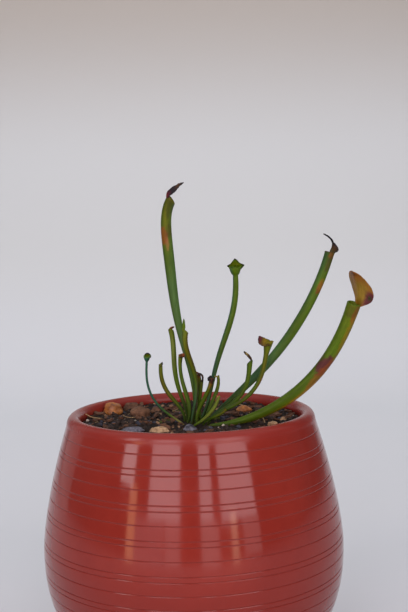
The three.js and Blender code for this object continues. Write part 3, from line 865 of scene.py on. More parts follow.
def lump_model(name, flat, seed):
    """A rough lump of about 1 mm half size, made from a small ball."""
    start_fresh()
    bpy.ops.mesh.primitive_ico_sphere_add(subdivisions=2, radius=1)
    lump = newest(name)
    places = points_of(lump)
    places *= (1 + LUMP_RELIEF * roughness_at(places, 1.3, seed))[:, None]
    places[:, 2] *= flat
    move_points(lump, places)
    return lump


def flake_model(name, seed):
    """A splintered flake of bark: a thin block whose ends are drawn out and bent."""
    start_fresh()
    bpy.ops.mesh.primitive_cube_add(size=2)
    flake = newest(name)
    bpy.ops.object.mode_set(mode="EDIT")
    bpy.ops.mesh.subdivide(number_cuts=2)
    bpy.ops.object.mode_set(mode="OBJECT")
    places = points_of(flake)
    wear = roughness_at(places, 0.9, seed)
    places[:, 1] *= 0.5 * (1 - 0.35 * np.abs(places[:, 0])) * (1 + 0.4 * wear)
    places[:, 0] *= 1 + 0.25 * roughness_at(places, 1.4, seed + 3)
    places[:, 2] = places[:, 2] * 0.22 + 0.16 * places[:, 0] ** 2 + 0.1 * wear
    move_points(flake, places)
    return flake


def straw_model(name, seed):
    """A fallen needle or root: a thin five-sided rod, bent."""
    start_fresh()
    bpy.ops.mesh.primitive_cylinder_add(vertices=5, radius=0.05, depth=2)
    straw = newest(name)
    bpy.ops.object.mode_set(mode="EDIT")
    pick_edges(lambda edge: abs(edge.verts[0].co.z - edge.verts[1].co.z) > 1)
    bpy.ops.mesh.subdivide(number_cuts=6)
    bpy.ops.object.mode_set(mode="OBJECT")
    places = points_of(straw)[:, [2, 0, 1]]
    places[:, 1] += STRAW_BEND[0] * np.sin(places[:, 0] * 1.7 + seed)
    places[:, 2] += STRAW_BEND[1] * np.cos(places[:, 0] * 2.3 + seed)
    move_points(straw, places)
    return straw


crumb_models = [lump_model(f"crumb_model_{i}", 0.8, 3.1 + i) for i in range(3)]
grit_models = [lump_model(f"grit_model_{i}", 0.7, 9.3 + i) for i in range(3)]
flake_models = [flake_model(f"flake_model_{i}", 5.7 + i) for i in range(3)]
straw_models = [straw_model(f"straw_model_{i}", 1.9 * i) for i in range(3)]

# %% Strew the copies
TILTS = (0.5, 0.4)  # how far a copy may lie askew about X and Y


def strew(name, models, places, seed):
    """Copies the models to the places, each (x, y, size, sunk share), and joins the copies."""
    chance = random.Random(seed)
    copies = []
    x, y, size, sunk = np.array(places).T
    heights = soil_heights(x, y) + size * (0.5 - sunk)
    for x, y, size, height in zip(x, y, size, heights):
        copy = copy_of(chance.choice(models))
        turn = Matrix.Rotation(chance.uniform(0, 2 * math.pi), 4, "Z")
        for tilt, axis in zip(TILTS, "XY"):
            turn = turn @ Matrix.Rotation(chance.uniform(-tilt, tilt), 4, axis)
        copy.data.transform(Matrix.Translation((x, y, height)) @ turn @ Matrix.Scale(size, 4))
        paint(copy, "tone", np.full(len(copy.data.vertices), chance.random()))
        copies.append(copy)
    join(copies[0], *copies)
    return newest(name)


# %% Draw the places
RIM_CLEAR = 1.6  # how far the bits keep from the pot's wall
MOSS_CUSHIONS = ((-4, 17, 4), (-11, -5, 3), (9, 2, 3), (16, -14, 2.5), (-1, -22, 2.5))


def clear_of_stones(x, y):
    return all(math.hypot((x - at_x) / size[0], (y - at_y) / size[1]) >= 1
               for (at_x, at_y), size, *_ in STONES.values())


def clear_of_stems(x, y, margin):
    return (np.hypot(FOOT_POINTS[:, 0] - x, FOOT_POINTS[:, 1] - y) >= margin).all()


def drawn_places(count, seed, smallest, largest, sunk):
    """Places all over the soil, each (x, y, size, sunk share)."""
    chance = random.Random(seed)
    places = []
    while len(places) < count:
        radius = (soil_wall - RIM_CLEAR) * math.sqrt(chance.random())
        turn = chance.uniform(0, 2 * math.pi)
        x, y = radius * math.cos(turn), radius * math.sin(turn)
        size = smallest + (largest - smallest) * chance.random() ** 2
        if clear_of_stems(x, y, size * 1.3 + 0.8) and clear_of_stones(x, y):
            places.append((x, y, size, sunk))
    return places


def cushion_places(count, seed, smallest, largest, sunk):
    """Places in small cushions, each of which is (x, y, spread) and thins out at its edge."""
    chance = random.Random(seed)
    places = []
    while len(places) < count:
        x, y, spread = chance.choice(MOSS_CUSHIONS)
        x, y = chance.gauss(x, spread / 2), chance.gauss(y, spread / 2)
        size = chance.uniform(smallest, largest)
        if clear_of_stems(x, y, size + 0.5) and clear_of_stones(x, y):
            places.append((x, y, size, sunk))
    return places


# %% Strew each kind
OWN_TONE = 0.55  # how far a bit may lean to the light tone as a whole
BITS = {
    # name: models, count, seed, smallest, largest, sunk share, dark and light tone
    "peat_crumbs": (crumb_models, 620, 11, 0.45, 1.5, 0.35, srgb(16, 12, 10), srgb(54, 38, 29)),
    "black_grit": (grit_models, 190, 12, 0.4, 1.25, 0.3, srgb(14, 14, 18), srgb(70, 72, 86)),
    "bark_flakes": (flake_models, 210, 13, 0.9, 2.6, 0.25, srgb(34, 21, 15), srgb(104, 70, 48)),
    "tan_grit": (grit_models, 120, 14, 0.35, 1.1, 0.3, srgb(78, 56, 38), srgb(164, 130, 96)),
    "pale_grains": (crumb_models, 26, 15, 0.3, 0.8, 0.35, srgb(120, 110, 96), srgb(200, 190, 176)),
    "straws": (straw_models, 26, 16, 2.2, 4.8, 0.35, srgb(110, 82, 52), srgb(186, 160, 116)),
}
for name, (models, count, seed, smallest, largest, sunk, dark, light) in BITS.items():
    bits = strew(name, models, drawn_places(count, seed, smallest, largest, sunk), seed)
    look = earthy(name, dark, light, 700, 0.55, 0.95, 0.7, 0.2, 0.3, 0.4, OWN_TONE)
    finish(bits, look, smooth=False)
    print(name, len(bits.data.polygons), "faces")
moss = strew("moss", crumb_models, cushion_places(150, 17, 0.35, 0.8, 0.3), 17)
moss_green = earthy("moss", srgb(30, 34, 12), srgb(96, 104, 38), 900, 0.8, 1, 0.8, 0.2, 0.3, 0.4,
                    OWN_TONE)
finish(moss, moss_green, smooth=False)
print("moss", len(moss.data.polygons), "faces")
for model in crumb_models + grit_models + flake_models + straw_models:
    bpy.data.objects.remove(model)

# %% [markdown]
# ## The loose stones
# The larger stones are worn but not round. Each starts as a fine ball, takes the low waves of its
# CAD solid, and is then roughened a little. Warm ones are smooth and catch the light, and the brown
# and grey ones are crusted.

# %% Shape the stones
STONE_RISE = 0.1  # how high a stone's middle lies, as a share of its half height
STONE_WAVES, STONE_PITS = 0.06, 0.05  # how deep they go, as shares of its size


def stone(name, at, size, turn, seed):
    start_fresh()
    bpy.ops.mesh.primitive_ico_sphere_add(subdivisions=5, radius=1)
    piece = newest(name + "_shape")
    ball = points_of(piece)
    wave = (np.sin(ball[:, 0] * 5.1 + seed) + np.sin(ball[:, 1] * 4.3 + seed * 2)
            + np.sin(ball[:, 2] * 6.7 + seed * 3))
    pits = roughness_at(ball, 2.2, seed % 17, 4)
    places = ball * (1 + STONE_WAVES * wave + STONE_PITS * pits)[:, None] * np.array(size)
    turned = np.array(Matrix.Rotation(math.radians(turn), 3, "Z"))
    places = places @ turned.T + (*at, SOIL_LEVEL + size[2] * STONE_RISE)
    move_points(piece, places)
    return piece


STONE_FINISHES = {
    "orange_stone": earthy("orange_stone", srgb(112, 62, 28), srgb(190, 122, 56), 260, 0.35, 0.6,
                           0.35, 0.16, 0.35, 0.5),
    "brown_stone": earthy("brown_stone", srgb(62, 42, 32), srgb(128, 92, 68), 340, 0.6, 0.95,
                          0.7, 0.14, 0.6, 0.3),
    "grey_stone": earthy("grey_stone", srgb(34, 35, 44), srgb(112, 112, 122), 420, 0.6, 0.9,
                         0.8, 0.14, 0.6, 0.35),
    "tan_stone": earthy("tan_stone", srgb(120, 90, 62), srgb(196, 164, 126), 420, 0.55, 0.9,
                        0.6, 0.14, 0.5, 0.35),
}
for name, (at, size, turn, seed, look) in STONES.items():
    finish(stone(name, at, size, turn, seed), STONE_FINISHES[look], [name])
print(len(STONES), "stones")

# %% [markdown]
# ## The rhizome
# The leaves all rise from one short rhizome that lies just under the soil. It is knobbly, ringed
# with the scars of old leaves, and pale brown. A ball is swollen and ringed by a few waves.

# %% Shape the rhizome
CROWN_AT = (3, -8, 102.6)
CROWN_SIZE = (10.5, 10.5, 4)  # half sizes
SWELLING, SCAR_RINGS, KNOBS = 0.95, 0.03, 0.06  # as shares of the half sizes

start_fresh()
bpy.ops.mesh.primitive_uv_sphere_add(segments=64, ring_count=32, radius=1)
rhizome = newest("rhizome_shape")
ball = points_of(rhizome)
rings = SCAR_RINGS * np.sin(np.arctan2(ball[:, 1], ball[:, 0]) * 9 + ball[:, 2] * 8)
knobs = KNOBS * roughness_at(ball, 2.6, 6.0, 3)
swollen = ball * (SWELLING + rings + knobs)[:, None]
move_points(rhizome, swollen * np.array(CROWN_SIZE) + CROWN_AT)
rhizome_bark = earthy("rhizome_bark", srgb(54, 40, 24), srgb(126, 104, 66), 300, 0.5, 0.85, 0.8,
                      0.16, 0.5)
finish(rhizome, rhizome_bark, ["rhizome"])
print("rhizome with", len(rhizome.data.polygons), "faces")

# %% [markdown]
# ## The tubes
# A tube is spun straight, like the pot, from a profile that runs up its outside, over the rolled
# lip and down its bore. Each of its points is then carried to its place round the growth line. On
# the way, the inner side is drawn out into the low wing, and the rim rises towards the hood. A few
# mouths open more suddenly than the others, like a trumpet's bell.

# %% The profile of a tube
TUBE_STEP = 0.5  # from ring to ring
NARROWEST_BORE = 0.28
BORE_DEPTH = 4  # how many mouth radii the bore goes down
BORE_END = 0.4  # how many more its rounded end goes
BORE_RINGS = 13
BORE_NARROWS = 0.3  # by this share, down to its end
PEG_TAPER = 0.8
LIP_ROLL = 0.2
ROLL_STEPS = 6
FLARE_SPAN = 6  # over about how many mm most mouths open
FLARE_LATE = 1.5
# mouths that open more suddenly than their rows say: over how many mm, how far, how late
FLARES = {"pitcher_06": (1.7, 2.9, 0.5), "pitcher_07": (2.8, 2.45, 0.5),
          "pitcher_14": (4.5, 1.75, 1.6)}


def lip_radius(name, leaf):
    flare = FLARES.get(name, (0, leaf["flare"], 0))[1]
    return float(tube_radius(leaf, leaf["length"])) * flare


def tube_profile(name, leaf):
    length = leaf["length"]
    foot = float(tube_radius(leaf, 0))
    mouth = float(tube_radius(leaf, length))
    bore = max(NARROWEST_BORE, mouth - SKIN)
    even_span = length / max(FLARE_SPAN, round(length / FLARE_SPAN))
    span, _, late = FLARES.get(name, (even_span, 1, FLARE_LATE))
    lip = lip_radius(name, leaf)

    def opening(height):
        return (lip - mouth) * max(0, (height - (length - span)) / span) ** late

    points = [(0, -PEG), (foot * PEG_TAPER, -PEG), (foot, -PEG / 2)]
    for height in np.linspace(0, length, round(length / TUBE_STEP) + 1):
        points.append((float(tube_radius(leaf, height)) + opening(height), float(height)))
    wall = (lip - max(NARROWEST_BORE, lip - SKIN)) / 2
    for i in range(1, ROLL_STEPS):
        turn = math.pi * i / ROLL_STEPS
        points.append((lip - wall + wall * math.cos(turn), length + LIP_ROLL * math.sin(turn)))
    for depth in np.linspace(0, mouth * BORE_DEPTH, BORE_RINGS):
        narrowing = 1 - BORE_NARROWS * depth / (mouth * BORE_DEPTH)
        points.append((bore * narrowing + opening(length - depth), length - float(depth)))
    return points + [(0, length - mouth * (BORE_DEPTH + BORE_END))]


# %% Bend the tube
WING_FROM, WING_TO = 0.08, 0.94  # the stretch of the tube that has the wing
WING_KEEN = 6  # the more, the narrower the wing
RISE_SPAN = 3  # how many mouth radii below the mouth its rim starts to rise
RISE_KEEN = 1.8
SIDES, SMALL_SIDES, SMALL_MOUTH = 36, 24, 1.2


def bend_tube(leaf, straight):
    """Carries the points of a straight tube to their places, and tells where each one lies."""
    length = leaf["length"]
    mouth = float(tube_radius(leaf, length))
    radius = np.hypot(straight[:, 0], straight[:, 1])
    turn = np.arctan2(straight[:, 1], straight[:, 0])
    height = straight[:, 2]
    along_wing = (height / length - WING_FROM) / (WING_TO - WING_FROM)
    wing = WING * np.sin(np.pi * np.clip(along_wing, 0, 1))
    reach = radius * (1 + wing * np.maximum(0, -np.cos(turn)) ** WING_KEEN)
    near_mouth = np.clip(1 - (length - height) / (mouth * RISE_SPAN), 0, 1) ** 2
    to_back = 1 - (0.5 - 0.5 * np.cos(turn)) ** RISE_KEEN
    lifted = height + leaf["rise"] * near_mouth * to_back
    middle, up, back, across = growth(leaf)(lifted)
    outward = back * np.cos(turn)[:, None] + across * np.sin(turn)[:, None]
    return middle + outward * reach[:, None], outward, up


def tube(name, leaf):
    sides = SIDES if tube_radius(leaf, leaf["length"]) > SMALL_MOUTH else SMALL_SIDES
    return spin_profile(name + "_leaf", tube_profile(name, leaf), sides)


# %% [markdown]
# ## The hoods
# A hood is a thin blade with a rounded outline that grows from the back of the rim and leans over
# the mouth. It is made from a flat grid: its rows are laid along a bent line, widened, folded along
# the middle and crumpled at the edges. A solidify modifier then gives it its thickness. Some hoods
# have an outline of their own, and two of those are lopsided.

# %% The outlines of the hoods
# Half widths at even steps from root to tip, of the left and the right half as seen with the mouth
# towards the viewer, where a hood is finer or less even than its row says.
EVEN_OUTLINES = {
    "pitcher_01": (1.3, 2.2, 2.4, 2.6, 1.2, 0.3),
    "pitcher_07": (2.4, 2.6, 3.5, 3.9, 2.6, 1.8, 1.2, 0.6, 0.15),
    "pitcher_14": (1.9, 3.5, 4.1, 3.4),
}
OUTLINES = {name: (half, half) for name, half in EVEN_OUTLINES.items()}
OUTLINES["pitcher_13"] = ((1.2, 1.2, 0.8, 0.6, 0.55, 0.4), (1.5, 3.2, 0.8, 0.6, 0.55, 0.4))
OUTLINES["pitcher_15"] = ((0.9, 1.4, 2.3, 5.2, 7.9, 8.0, 6.0, 3.5, 1),
                          (1.2, 3.4, 5.8, 6.5, 6.3, 5.5, 4.2, 2.8, 1.2))
TIP_ROUNDING = 0.12  # the last share of a hood, where its outline is rounded off
NARROWEST_HALF = 0.12


def half_widths(name, leaf, x, t):
    halves = leaf["hood"][1]
    left, right = OUTLINES.get(name, (halves, halves))
    rounding = np.sqrt(1 - np.clip((t - (1 - TIP_ROUNDING)) / TIP_ROUNDING, 0, 1) ** 2)
    half = np.where(x > 0, flowing(left, t), flowing(right, t))
    return np.maximum(NARROWEST_HALF, half * rounding)


# %% Lay out a hood
HOOD_ROOT = 1.0  # how far down the mouth's wall a hood starts
HOOD_THICKNESS = 0.42
HOOD_ROWS = 34
HOOD_COLUMNS = 17
LINE_STEPS = 240
BEND_SOFTNESS = 21  # steps of the line over which a bend is eased
FOLD_FULL = 0.45  # from root to tip: where the fold is full
HUG_ENDS = (0.02, 0.3)  # between these the blade leaves the curve of the mouth's wall
KEEL_SOFTNESS = 0.12  # how rounded the fold is, as a share of the half width
DROOP_PARTS = 1.25  # how many times the stretch that droops goes into the hood's length
WAVE_SCALE, EDGE_SCALE = 0.55, 1.3


def hood_line(leaf, t):
    """The lean of the blade at t, and the line from its root to its tip."""
    length, _, bends, _, _ = leaf["hood"]
    fine = np.linspace(0, 1, LINE_STEPS + 1)
    leans = np.interp(fine, np.linspace(0, 1, len(bends)), np.radians(bends))
    easing = np.ones(BEND_SOFTNESS) / BEND_SOFTNESS
    leans = np.convolve(np.pad(leans, BEND_SOFTNESS // 2, "edge"), easing, "valid")
    between = (leans[1:] + leans[:-1]) / 2
    rises, overs = (np.concatenate([[0], np.cumsum(way(between))]) * length / LINE_STEPS
                    for way in (np.cos, np.sin))
    return tuple(np.interp(t, fine, line) for line in (leans, rises, overs))


def hood_places(name, leaf, x, t, crumple, seed):
    """The places of points of the blade: x from -1 to 1 across it, t from 0 to 1 to its tip."""
    length, _, _, fold, droop = leaf["hood"]
    mouth = lip_radius(name, leaf)
    middle, up, back, across = (axis[0] for axis in growth(leaf)(np.array([leaf["length"]])))
    lean, rise, over = hood_line(leaf, t)
    half = half_widths(name, leaf, x, t)
    reach = x * half
    closed = np.radians(fold) * smoothstep(0, FOLD_FULL, t)
    soft = KEEL_SOFTNESS * np.maximum(0.3, half)
    sideways = np.sqrt(reach ** 2 + soft ** 2) - soft
    hug = mouth - np.sqrt(np.maximum(0.01, mouth ** 2 - np.minimum(np.abs(reach), mouth) ** 2))
    hug = hug * (1 - smoothstep(*HUG_ENDS, t))
    lobe = droop * x ** 2 * np.sin(np.pi * np.clip(t * DROOP_PARTS, 0, 1))
    inward = -np.outer(np.sin(lean), up) - np.outer(np.cos(lean), back)
    onward = np.outer(np.cos(lean), up) - np.outer(np.sin(lean), back)
    root = middle + back * (mouth - SKIN * 0.45) + up * (leaf["rise"] - HOOD_ROOT)
    places = (root + np.outer(rise, up) - np.outer(over, back)
              + np.outer(reach * np.cos(closed), across)
              + inward * (sideways * np.sin(closed) + hug)[:, None] - onward * lobe[:, None])
    where = np.stack([reach, t * length, np.full_like(t, seed)], axis=-1)
    waves = roughness_at(where, WAVE_SCALE, seed) * crumple * smoothstep(0.05, 0.4, t)
    edge = roughness_at(where, EDGE_SCALE, seed + 4) * crumple * 0.6 * x ** 2
    edge = edge * smoothstep(0.1, 0.5, t)
    return places + inward * waves[:, None] + onward * edge[:, None]


def hood(name, leaf, crumple, seed):
    start_fresh()
    bpy.ops.mesh.primitive_grid_add(x_subdivisions=HOOD_COLUMNS, y_subdivisions=HOOD_ROWS, size=2)
    blade = newest(name + "_hood")
    flat = points_of(blade)
    x, t = flat[:, 0], (flat[:, 1] + 1) / 2
    move_points(blade, hood_places(name, leaf, x, t, crumple, seed))
    paint(blade, "across", x)
    paint(blade, "onward", t)
    take(blade)
    bpy.ops.object.modifier_add(type="SOLIDIFY")
    modifier = blade.modifiers[-1]
    modifier.thickness = HOOD_THICKNESS
    modifier.offset = 0
    bpy.ops.object.modifier_apply(modifier=modifier.name)
    return blade


# %% [markdown]
# ## The hairs in the hoods
# Stiff hairs stand on the inner side of a hood and point back down to the mouth. One hair is a
# three-sided spike. Its copies are set on the larger hoods at seeded places, where the inner side
# is the one that looks at the mouth.

# %% Set the hairs
HAIR_COUNTS = {"pitcher_01": 12, "pitcher_07": 14, "pitcher_14": 16, "pitcher_15": 52}
HAIR_LENGTH = 0.75
HAIR_RADIUS = 0.05
HAIR_LEAN = 1.1  # how much more it points to the root than straight out
HAIR_OUT = 0.15  # how far from the blade's middle it starts
HAIRS_ACROSS, HAIRS_ONWARD = (-0.8, 0.8), (0.12, 0.88)  # the part of the blade that has them


def hood_hairs(name, leaf, crumple, seed):
    chance = random.Random(seed)
    count = HAIR_COUNTS[name]
    x, t = (np.array([chance.uniform(*ends) for _ in range(count)])
            for ends in (HAIRS_ACROSS, HAIRS_ONWARD))
    at, aside, onward = (hood_places(name, leaf, x + dx, t + dt, crumple, seed)
                         for dx, dt in ((0, 0), (0.03, 0), (0, 0.02)))
    mouth = growth(leaf)(np.array([leaf["length"]]))[0][0]
    out = unit(np.cross(aside - at, onward - at))
    out *= np.sign(((mouth - at) * out).sum(axis=1))[:, None]
    ways = unit(out - HAIR_LEAN * unit(onward - at))
    start_fresh()
    bpy.ops.mesh.primitive_cone_add(vertices=3, radius1=HAIR_RADIUS, depth=HAIR_LENGTH)
    model = newest("hair_model")
    hairs = []
    for i in range(count):
        hair = copy_of(model)
        turn = Vector(ways[i]).to_track_quat("Z", "Y").to_matrix().to_4x4()
        place = Matrix.Translation(Vector(at[i] + out[i] * HAIR_OUT + ways[i] * HAIR_LENGTH / 2))
        hair.data.transform(place @ turn)
        for attribute_name, value in (("across", x[i]), ("onward", t[i]), ("hair", 1.0)):
            paint(hair, attribute_name, np.full(len(hair.data.vertices), value))
        hairs.append(hair)
    bpy.data.objects.remove(model)
    return hairs


# %% [markdown]
# ## The colours of the leaves
# No two leaves of this plant are coloured alike. They are green at the foot and yellow-green or
# olive towards the mouth. Hoods go copper, wine red or nearly black as they wither, and rusty
# blotches follow a bruise or a dry spell. So each leaf has a row of tones, read from its foot to
# its mouth and from its hood's root to the tip, and a few blotches.

# %% The tones and blotches of each leaf
TONES = {
    name: srgb(*channels) for name, channels in (
        ("shade", (32, 46, 14)), ("deep", (50, 71, 18)), ("teal", (45, 78, 44)),
        ("blue", (41, 84, 64)), ("mid", (68, 91, 14)), ("moss", (66, 96, 44)),
        ("fresh", (74, 100, 8)), ("lime", (88, 100, 4)), ("pale", (106, 119, 48)),
        ("olive", (86, 84, 6)), ("gold", (112, 94, 10)), ("ochre", (134, 98, 20)),
        ("copper", (136, 88, 32)), ("amber", (132, 108, 38)), ("rust", (120, 62, 22)),
        ("red", (100, 32, 20)), ("wine", (78, 28, 40)), ("umber", (66, 44, 20)),
        ("black", (26, 22, 27)), ("grey", (86, 90, 50)), ("straw", (150, 132, 76)),
        ("rose", (178, 106, 74)),
    )
}

LOOKS = {
    # name: tube tones from foot to mouth; left edge, right edge, rim; hood tones from root to tip;
    # hood's edge; crumple
    "pitcher_01": ("deep mid moss moss moss moss mid lime olive", "deep moss olive",
                   "red wine black black umber black", "black", 0.34),
    "pitcher_02": ("shade teal mid olive lime", "teal umber lime", "lime fresh deep", "fresh", 0.1),
    "pitcher_03": ("shade deep mid fresh pale pale lime", "mid fresh lime",
                   "lime umber rose umber", "umber", 0.1),
    "pitcher_04": ("shade deep mid mid mid lime", "mid deep red",
                   "black umber rust red", "umber", 0.25),
    "pitcher_05": ("deep mid olive olive lime", "teal mid olive", "olive grey black", "black", 0.15),
    "pitcher_06": ("straw mid blue blue blue blue", "blue teal fresh",
                   "fresh lime black", "black", 0.1),
    "pitcher_07": ("deep teal teal mid mid fresh fresh", "blue mid fresh",
                   "fresh fresh lime fresh shade", "shade", 0.22),
    "pitcher_08": ("deep mid mid mid rust", "mid umber umber", "black black black", "black", 0.35),
    "pitcher_09": ("deep mid mid lime", "mid deep lime", "lime straw straw", "straw", 0.1),
    "pitcher_10": ("deep mid mid olive", "mid deep umber", "black red umber black", "black", 0.05),
    "pitcher_11": ("mid pale pale pale", "fresh mid pale", "pale rose red", "rose", 0.1),
    "pitcher_12": ("shade deep mid mid fresh", "deep mid deep",
                   "mid umber umber straw black", "black", 0.12),
    "pitcher_13": ("shade deep teal moss mid mid fresh deep", "teal mid umber",
                   "grey umber black black black black", "black", 0.15),
    "pitcher_14": ("shade deep mid mid olive lime", "deep mid gold",
                   "olive olive olive gold umber red", "umber", 0.3),
    "pitcher_15": ("deep mid mid mid fresh lime", "mid gold mid",
                   "ochre amber amber amber copper rust", "copper", 0.1),
    "pitcher_16": ("deep mid olive", "deep mid olive", "straw olive umber", "umber", 0.1),
    "pitcher_17": ("deep mid mid olive", "mid deep umber", "black umber black", "black", 0.05),
}

# name: blotches, each (mm below the mouth, side from -1 left to 1 right as seen from the front,
# half width, half length, tone, strength)
BLOTCHES = {
    "pitcher_01": ((15.5, -0.5, 0.75, 4, "rust", 0.75), (18.5, 0.1, 0.4, 3, "rose", 0.35),
                   (2.5, 0.4, 1.0, 4, "shade", 0.45), (13, 0.6, 0.5, 3, "umber", 0.4)),
    "pitcher_13": ((17.5, 0.4, 0.6, 3.2, "rust", 0.75), (15.5, 0.5, 0.5, 3, "ochre", 0.5),
                   (1.5, 0.3, 0.6, 1.5, "rust", 0.6), (5, 0.5, 0.6, 5, "umber", 0.5)),
    "pitcher_15": ((27.5, 0.05, 1.0, 5.5, "wine", 0.9), (28, 0.6, 0.5, 5, "rust", 0.6),
                   (5, 0.5, 0.4, 4, "rust", 0.7), (12, 0.6, 0.5, 8, "gold", 0.6),
                   (34, 0.5, 0.7, 5.5, "rust", 0.55), (2.5, 0.1, 0.9, 3, "umber", 0.35),
                   (46, 0.9, 0.4, 10, "ochre", 0.7)),
    "pitcher_14": ((16, 0.4, 0.4, 4, "rust", 0.5), (26, -0.4, 0.5, 5, "umber", 0.4)),
    "pitcher_08": ((0.6, 0, 1.4, 1.2, "black", 0.8),),
    "pitcher_10": ((0.6, 0.4, 1, 1.2, "red", 0.6),),
}
# The same on a hood: (share to its tip, place across from -1 to 1, half length, half width, ...)
HOOD_BLOTCHES = {
    "pitcher_07": ((0.37, 1, 0.12, 0.25, "black", 0.8), (0.37, -1, 0.12, 0.25, "black", 0.8),
                   (1, 0, 0.12, 1, "black", 0.8)),
    "pitcher_15": ((0.33, -0.76, 0.19, 0.36, "wine", 0.95),
                   (0.32, -0.78, 0.08, 0.15, "shade", 0.95),
                   (0.7, 0.55, 0.3, 0.12, "umber", 0.55), (0.97, 0.1, 0.1, 0.7, "umber", 0.6),
                   (0.5, 0.35, 0.35, 0.3, "rust", 0.3)),
    "pitcher_14": ((0.98, 0, 0.2, 1, "wine", 0.7), (0.4, 0, 0.6, 0.14, "umber", 0.8)),
    "pitcher_01": ((0.12, 0, 0.14, 0.7, "red", 0.6),),
}


SIDE_STRENGTH, RIM_STRENGTH, FOOT_STRENGTH = 0.65, 0.8, 0.5
HOOD_EDGE_STRENGTH = 0.75
BLOTCH_EDGES = (0.7, 1.15)  # between these shares of its size a blotch fades out
DARKEST = 0.002


def tones_along(words, share):
    colours = np.array([TONES[word] for word in words.split()])
    steps = np.linspace(0, 1, len(colours))
    return np.stack([np.interp(share, steps, colours[:, k]) for k in range(3)], axis=-1)


def lay_over(colours, tone, weight):
    weight = np.asarray(weight)[:, None]
    return colours * (1 - weight) + np.array(TONES[tone]) * weight


def tube_colours(name, leaf, straight, outward, up):
    words, sides, *_ = LOOKS[name]
    left, right, rim = sides.split()
    toward = unit(np.array([0, -1, 0]) + up * up[:, 1:2])
    rightward = np.cross(up, toward)
    side = (outward * rightward).sum(axis=1)
    front = (outward * toward).sum(axis=1)
    height = straight[:, 2]
    below = leaf["length"] - height
    seed = float(name[-2:])
    streak = roughness_at(np.stack([side * 1.6, front * 1.6, height * 0.07], axis=-1), 1.0, seed, 4)
    cloud = roughness_at(np.stack([side, front, height * 0.3], axis=-1), 0.9, seed + 40, 4)
    share = np.clip(height / leaf["length"] + 0.06 * streak, 0, 1)
    colours = tones_along(words, share)
    for tone, aside in ((left, -side), (right, side)):
        weight = SIDE_STRENGTH * smoothstep(0.15, 0.95, aside + 0.25 * streak)
        colours = lay_over(colours, tone, weight)
    for down, across, wide, long, tone, strength in BLOTCHES.get(name, ()):
        far = np.hypot((side - across) / wide, (below - down) / long) + 0.45 * cloud
        weight = strength * (1 - smoothstep(*BLOTCH_EDGES, far)) * smoothstep(-0.4, 0.2, front)
        colours = lay_over(colours, tone, weight)
    colours *= (1 + 0.22 * streak + 0.1 * cloud)[:, None]
    colours = lay_over(colours, rim, RIM_STRENGTH * smoothstep(-0.5, -0.05, -below))
    colours = lay_over(colours, "umber", FOOT_STRENGTH * smoothstep(1.5, -1.5, height))
    return np.clip(colours, DARKEST, 1)


def hood_colours(name, x, t):
    *_, words, edge, _ = LOOKS[name]
    seed = float(name[-2:]) + 60
    cloud = roughness_at(np.stack([x * 1.2, t * 2.4, np.zeros_like(t)], axis=-1), 1.0, seed, 4)
    colours = tones_along(words, np.clip(t + 0.1 * cloud, 0, 1))
    weight = HOOD_EDGE_STRENGTH * smoothstep(0.55, 1.0, np.abs(x) + 0.2 * cloud)
    colours = lay_over(colours, edge, weight)
    for share, across, long, wide, tone, strength in HOOD_BLOTCHES.get(name, ()):
        far = np.hypot((x - across) / wide, (t - share) / long) + 0.35 * cloud
        colours = lay_over(colours, tone, strength * (1 - smoothstep(*BLOTCH_EDGES, far)))
    return np.clip(colours * (1 + 0.25 * cloud)[:, None], DARKEST, 1)


print("tones:", ", ".join(TONES))

# %% [markdown]
# ## The skin of the leaves
# The skin is satin. Fine veins run along the tube and darken it a little, and the same veins give
# it a low relief. The veins are noise that is stretched along the leaf, so it needs the leaf's own
# straight coordinates: each point remembers where it lay before the tube was bent.

# %% Mix the skin
VEIN_STRETCH = (2.6, 2.6, 0.09)


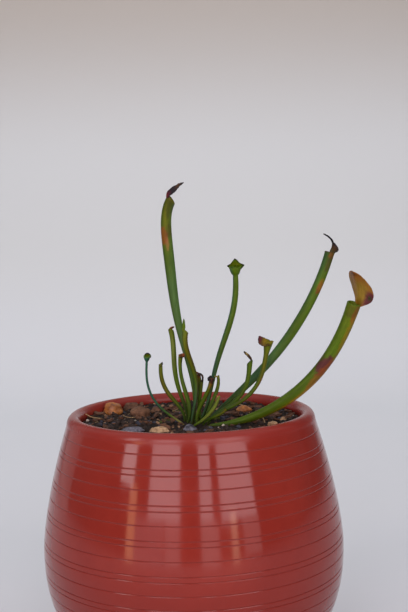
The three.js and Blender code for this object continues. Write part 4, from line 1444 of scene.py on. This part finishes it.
def skin_material():
    material, tree, shader = bare_material("pitcher_skin")
    straight = attribute(tree, "straight", "Vector")
    stretched = new_node(tree, "Mapping", Vector=straight, Scale=VEIN_STRETCH).outputs["Vector"]
    veins = new_node(tree, "TexNoise", Vector=stretched, Scale=1.5, Detail=4.0,
                     Roughness=0.6).outputs["Fac"]
    pores = new_node(tree, "TexNoise", Vector=straight, Scale=3.2, Detail=3.0).outputs["Fac"]

    light = calculate(tree, "MULTIPLY", ranged(tree, veins, 0.34, 0.66, 0.80, 1.16),
                      ranged(tree, pores, 0.3, 0.7, 0.92, 1.08))
    shade = tree.nodes.new("ShaderNodeVectorMath")
    shade.operation = "SCALE"
    connect(tree, attribute(tree, "tint", "Color"), shade.inputs[0])
    connect(tree, light, shade.inputs["Scale"])
    connect(tree, shade.outputs["Vector"], shader.inputs["Base Color"])
    connect(tree, ranged(tree, pores, 0.3, 0.7, 0.4, 0.58), shader.inputs["Roughness"])
    shader.inputs["Specular IOR Level"].default_value = 0.14
    bump_from(tree, shader, veins, 0.5, 0.12 * MM)
    return material


SKIN_MATERIAL = skin_material()

# %% Grow the leaves
def numbers_of(piece, name):
    values = np.empty(len(piece.data.vertices))
    piece.data.attributes[name].data.foreach_get("value", values)
    return values


def tint(piece, straight, colours):
    paint(piece, "straight", straight)
    paint(piece, "tint", np.hstack([colours, np.ones((len(colours), 1))]))


def grow_tube(name, leaf):
    piece = tube(name, leaf)
    straight = points_of(piece)
    places, outward, up = bend_tube(leaf, straight)
    tint(piece, straight, tube_colours(name, leaf, straight, outward, up))
    move_points(piece, places)
    return piece


def grow_hood(name, leaf):
    crumple = LOOKS[name][-1]
    seed = float(name[-2:])
    blade = hood(name, leaf, crumple, seed)
    if name in HAIR_COUNTS:
        join(blade, *hood_hairs(name, leaf, crumple, seed))
    x, t = numbers_of(blade, "across"), numbers_of(blade, "onward")
    colours = hood_colours(name, x, t)
    if name in HAIR_COUNTS:
        colours = lay_over(colours, "straw", 0.7 * numbers_of(blade, "hair"))
    height = leaf["length"] + t * leaf["hood"][0]
    tint(blade, np.stack([x * half_widths(name, leaf, x, t), np.zeros_like(x), height], axis=-1),
         colours)
    for spare in {"across", "onward", "hair"} & set(blade.data.attributes.keys()):
        blade.data.attributes.remove(blade.data.attributes[spare])
    return blade


for name, leaf in LEAVES.items():
    piece = grow_tube(name, leaf)
    join(piece, grow_hood(name, leaf))
    finish(piece, SKIN_MATERIAL, [name])
    print(name, len(piece.data.polygons), "faces")
